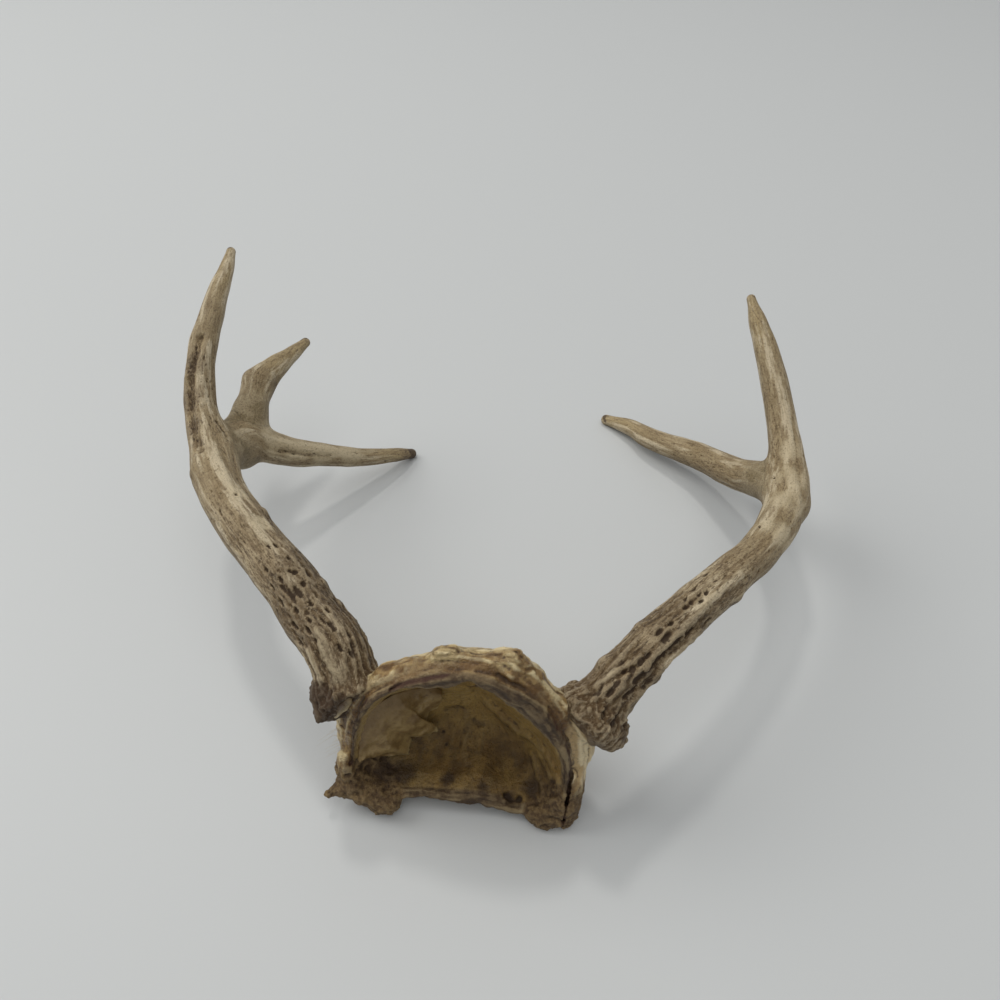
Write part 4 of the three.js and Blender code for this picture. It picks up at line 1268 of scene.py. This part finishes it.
def sheet(grid, thickness):
    """A closed thin sheet from an (n, m, 3) grid of points: vertices and quads."""
    n, m = grid.shape[:2]
    du, dv = np.gradient(grid, axis=0), np.gradient(grid, axis=1)
    normal = np.cross(du, dv)
    normal /= np.maximum(np.linalg.norm(normal, axis=2), 1e-9)[:, :, None]
    half = normal * thickness / 2
    vertices = np.concatenate([(grid + half).reshape(-1, 3), (grid - half).reshape(-1, 3)])
    i, j = np.meshgrid(np.arange(n - 1), np.arange(m - 1), indexing="ij")
    a = (i * m + j).ravel()
    front = np.stack([a, a + m, a + m + 1, a + 1], 1)
    back = front[:, ::-1] + n * m
    loop = np.concatenate([np.arange(m), np.arange(1, n) * m + m - 1,
                           (n - 1) * m + np.arange(m - 2, -1, -1), np.arange(n - 2, 0, -1) * m])
    following = np.roll(loop, -1)
    side = np.stack([loop, following, following + n * m, loop + n * m], 1)
    return vertices, np.concatenate([front, back, side])


def membrane_material():
    skin = Shader("dried_membrane")
    at = skin.millimetres()
    blotch, grit = skin.noise(at, 0.22, 4.0, 0.6), skin.noise(at, 1.4, 3.0, 0.6)
    free = skin.attribute("free")
    shade = skin.blend(blotch, 0.36, 0.66, (152, 128, 82), (112, 88, 48))
    shade = skin.tint(shade, (112, 88, 50), free, 0.62, 0.05, 0.75)
    # Painted highlight along the torn edge.
    shade = skin.tint(shade, (186, 168, 122), free, 0.93, 1.0, 0.6)
    shade = skin.tint(shade, (84, 64, 36), grit, 0.58, 0.72, 0.6)
    skin.surface(shade, 0.5, skin.bump(grit, 0.0003, 0.6))
    return skin.material


def build_membrane(skull):
    """The dried membrane: a crumpled sheet with a ragged edge, hanging from the hollow's wall."""
    across, down = np.meshgrid(*(np.linspace(0, 1, n) for n in MEMBRANE_GRID), indexing="ij")
    root, edge = along_line(MEMBRANE_ROOT, across[:, 0]), along_line(MEMBRANE_EDGE, across[:, 0])
    ragged = 1 + 0.08 * noise(np.stack([across[:, 0] * 34, 0 * across[:, 0], 0 * across[:, 0]], 1), 90)
    down = down * ragged[:, None]
    flap = root[:, None] * (1 - down[:, :, None]) + edge[:, None] * down[:, :, None]
    flat = flap.reshape(-1, 3)
    crumple = 0.9 * noise(flat / 5.0, 91) + 0.55 * (1 - 2.2 * np.abs(noise(flat / 3.4, 92)))
    crumple = crumple.reshape(down.shape) * ramp(down, 0.0, 0.3)
    flap[:, :, 1] -= 1.4 * np.sin(np.pi * np.clip(down, 0, 1)) + crumple
    flap[:, :, 2] += 0.8 * crumple
    vertices, quads = sheet(skull.world(flap.reshape(-1, 3)).reshape(flap.shape), MEMBRANE_THICKNESS)
    free = np.tile(np.clip(down, 0, 1).ravel(), 2)
    membrane = mesh_object("dried_membrane", vertices, quads, {"free": free})
    membrane.data.materials.append(membrane_material())
    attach(membrane, "root")


def hair_points(rng):
    """One stiff hair as rings of points from its root to its tip."""
    start = np.array([rng.uniform(*span) for span in HAIR_ZONE])
    way = np.array([-0.75 + 0.35 * rng.normal(), 0.1 * rng.normal() - 0.15, -0.5 + 0.5 * rng.normal()])
    way /= np.linalg.norm(way)
    droop = np.array([rng.normal() * 0.4, rng.normal() * 0.3, -0.9 + rng.normal() * 0.3])
    length = rng.uniform(*HAIR_LENGTH)
    points = []
    for t in np.arange(HAIR_RINGS) / (HAIR_RINGS - 1):
        middle = start - 0.8 * way + way * length * t + droop * length * 0.35 * t * t
        girth = HAIR_RADIUS * (1 - 0.75 * t)
        for turn in np.arange(HAIR_SIDES) * 2 * math.pi / HAIR_SIDES:
            off = np.array([0.6 * math.sin(turn), math.cos(turn), 0.8 * math.sin(turn)])
            points.append(middle + girth * off)
    return points


def hair_faces(base):
    """The quads of a hair whose points start at base, closed at both ends."""
    faces = []
    for ring in range(HAIR_RINGS - 1):
        for corner in range(HAIR_SIDES):
            a = base + HAIR_SIDES * ring + corner
            b = base + HAIR_SIDES * ring + (corner + 1) % HAIR_SIDES
            faces.append((a, b, b + HAIR_SIDES, a + HAIR_SIDES))
    root = tuple(range(base, base + HAIR_SIDES))
    return faces + [root[::-1], tuple(corner + HAIR_SIDES * (HAIR_RINGS - 1) for corner in root)]


def build_hairs(skull):
    """A few stiff hairs on the broken left edge."""
    rng = np.random.default_rng(77)
    strands, faces = [], []
    for _ in range(HAIR_COUNT):
        faces += hair_faces(len(strands))
        strands += hair_points(rng)
    hairs = mesh_object("stiff_hairs", skull.world(np.array(strands)), np.array(faces), {})
    hair = Shader("stiff_hair")
    hair.bsdf.inputs["Base Color"].default_value = (*srgb(196, 184, 158), 1)
    hair.bsdf.inputs["Roughness"].default_value = 0.5
    hairs.data.materials.append(hair.material)
    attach(hairs, "root")


right = Antler(RIGHT_STEM, [RIGHT_TIP], 301, RIGHT_FOLD, RIGHT_KNOBS, RIGHT_PITS, RIGHT_LINES,
               RIGHT_DIRT, RIGHT_STAINS_AND_SHADE, RIGHT_TOP_HIGHLIGHTS)
left = Antler(LEFT_STEM, [LEFT_TIP, LEFT_G3, LEFT_WEB], 502, LEFT_FOLD, LEFT_KNOBS, LEFT_PITS, LEFT_LINES,
              LEFT_DIRT_AND_SHADE, LEFT_STAINS_AND_SHADE, LEFT_TOP_HIGHLIGHTS)
skull = Skull([right, left])
antler_bone = antler_material()
build_antler("right_antler", right, antler_bone, ["right_main_beam", "right_g2_tine", "right_beam_tip"])
build_antler("left_antler", left, antler_bone,
             ["left_main_beam", "left_g2_tine", "left_beam_tip", "left_g3_tine"])
build_plate(skull)
build_membrane(skull)
build_hairs(skull)

# ---------------------------------------------------------------- floor, light and camera

CAMERA_PLACE = (0.0015, -0.1796, 0.240)       # metres
CAMERA_PITCH = math.radians(47)
CAMERA_LENS, CAMERA_SENSOR = 27.07, 36.0       # millimetres
FLOOR_REACH = 3                                # metres
WORLD_COLOUR, WORLD_STRENGTH = (0.98, 0.985, 1.0, 1), 0.38
LIGHTS = [    # name, place and size in metres, watts, colour
    ("lamp", (-0.35, 1.25, 2.6), 0.3, 11, (1.0, 0.97, 0.93)),
    ("window", (-1.5, 0.5, 1.5), 1.3, 17, (1.0, 0.98, 0.95)),
    ("sky", (0.1, -0.3, 2.4), 2.2, 13, (1.0, 0.985, 0.96)),
]

def build_floor():
    floor_mesh = bpy.data.meshes.new("floor")
    corners = [(x * FLOOR_REACH, y * FLOOR_REACH, 0) for x, y in ((-1, -1), (1, -1), (1, 1), (-1, 1))]
    floor_mesh.from_pydata(corners, [], [(0, 1, 2, 3)])
    floor = bpy.data.objects.new("floor", floor_mesh)
    bpy.context.scene.collection.objects.link(floor)
    paint = Shader("pale_floor")
    paint.bsdf.inputs["Base Color"].default_value = (*srgb(201, 204, 204), 1)
    paint.bsdf.inputs["Roughness"].default_value = 0.55
    floor.data.materials.append(paint.material)


build_floor()

world = bpy.data.worlds.new("studio")
bpy.context.scene.world = world
world.use_nodes = True
world.node_tree.nodes["Background"].inputs["Color"].default_value = WORLD_COLOUR
world.node_tree.nodes["Background"].inputs["Strength"].default_value = WORLD_STRENGTH

for name, place, size, power, colour in LIGHTS:
    data = bpy.data.lights.new(name, "AREA")
    data.shape, data.size, data.energy, data.color = "DISK", size, power, colour
    light = bpy.data.objects.new(name, data)
    light.location = place
    light.rotation_euler = (-Vector(place)).to_track_quat("-Z", "Y").to_euler()
    bpy.context.scene.collection.objects.link(light)

camera_data = bpy.data.cameras.new("camera")
camera_data.sensor_width, camera_data.lens = CAMERA_SENSOR, CAMERA_LENS
camera = bpy.data.objects.new("camera", camera_data)
camera.location = CAMERA_PLACE
camera.rotation_euler = (math.radians(90) - CAMERA_PITCH, 0, 0)
bpy.context.scene.collection.objects.link(camera)
bpy.context.scene.camera = camera

scene = bpy.context.scene
scene.view_settings.view_transform = "Standard"
scene.view_settings.look = "None"
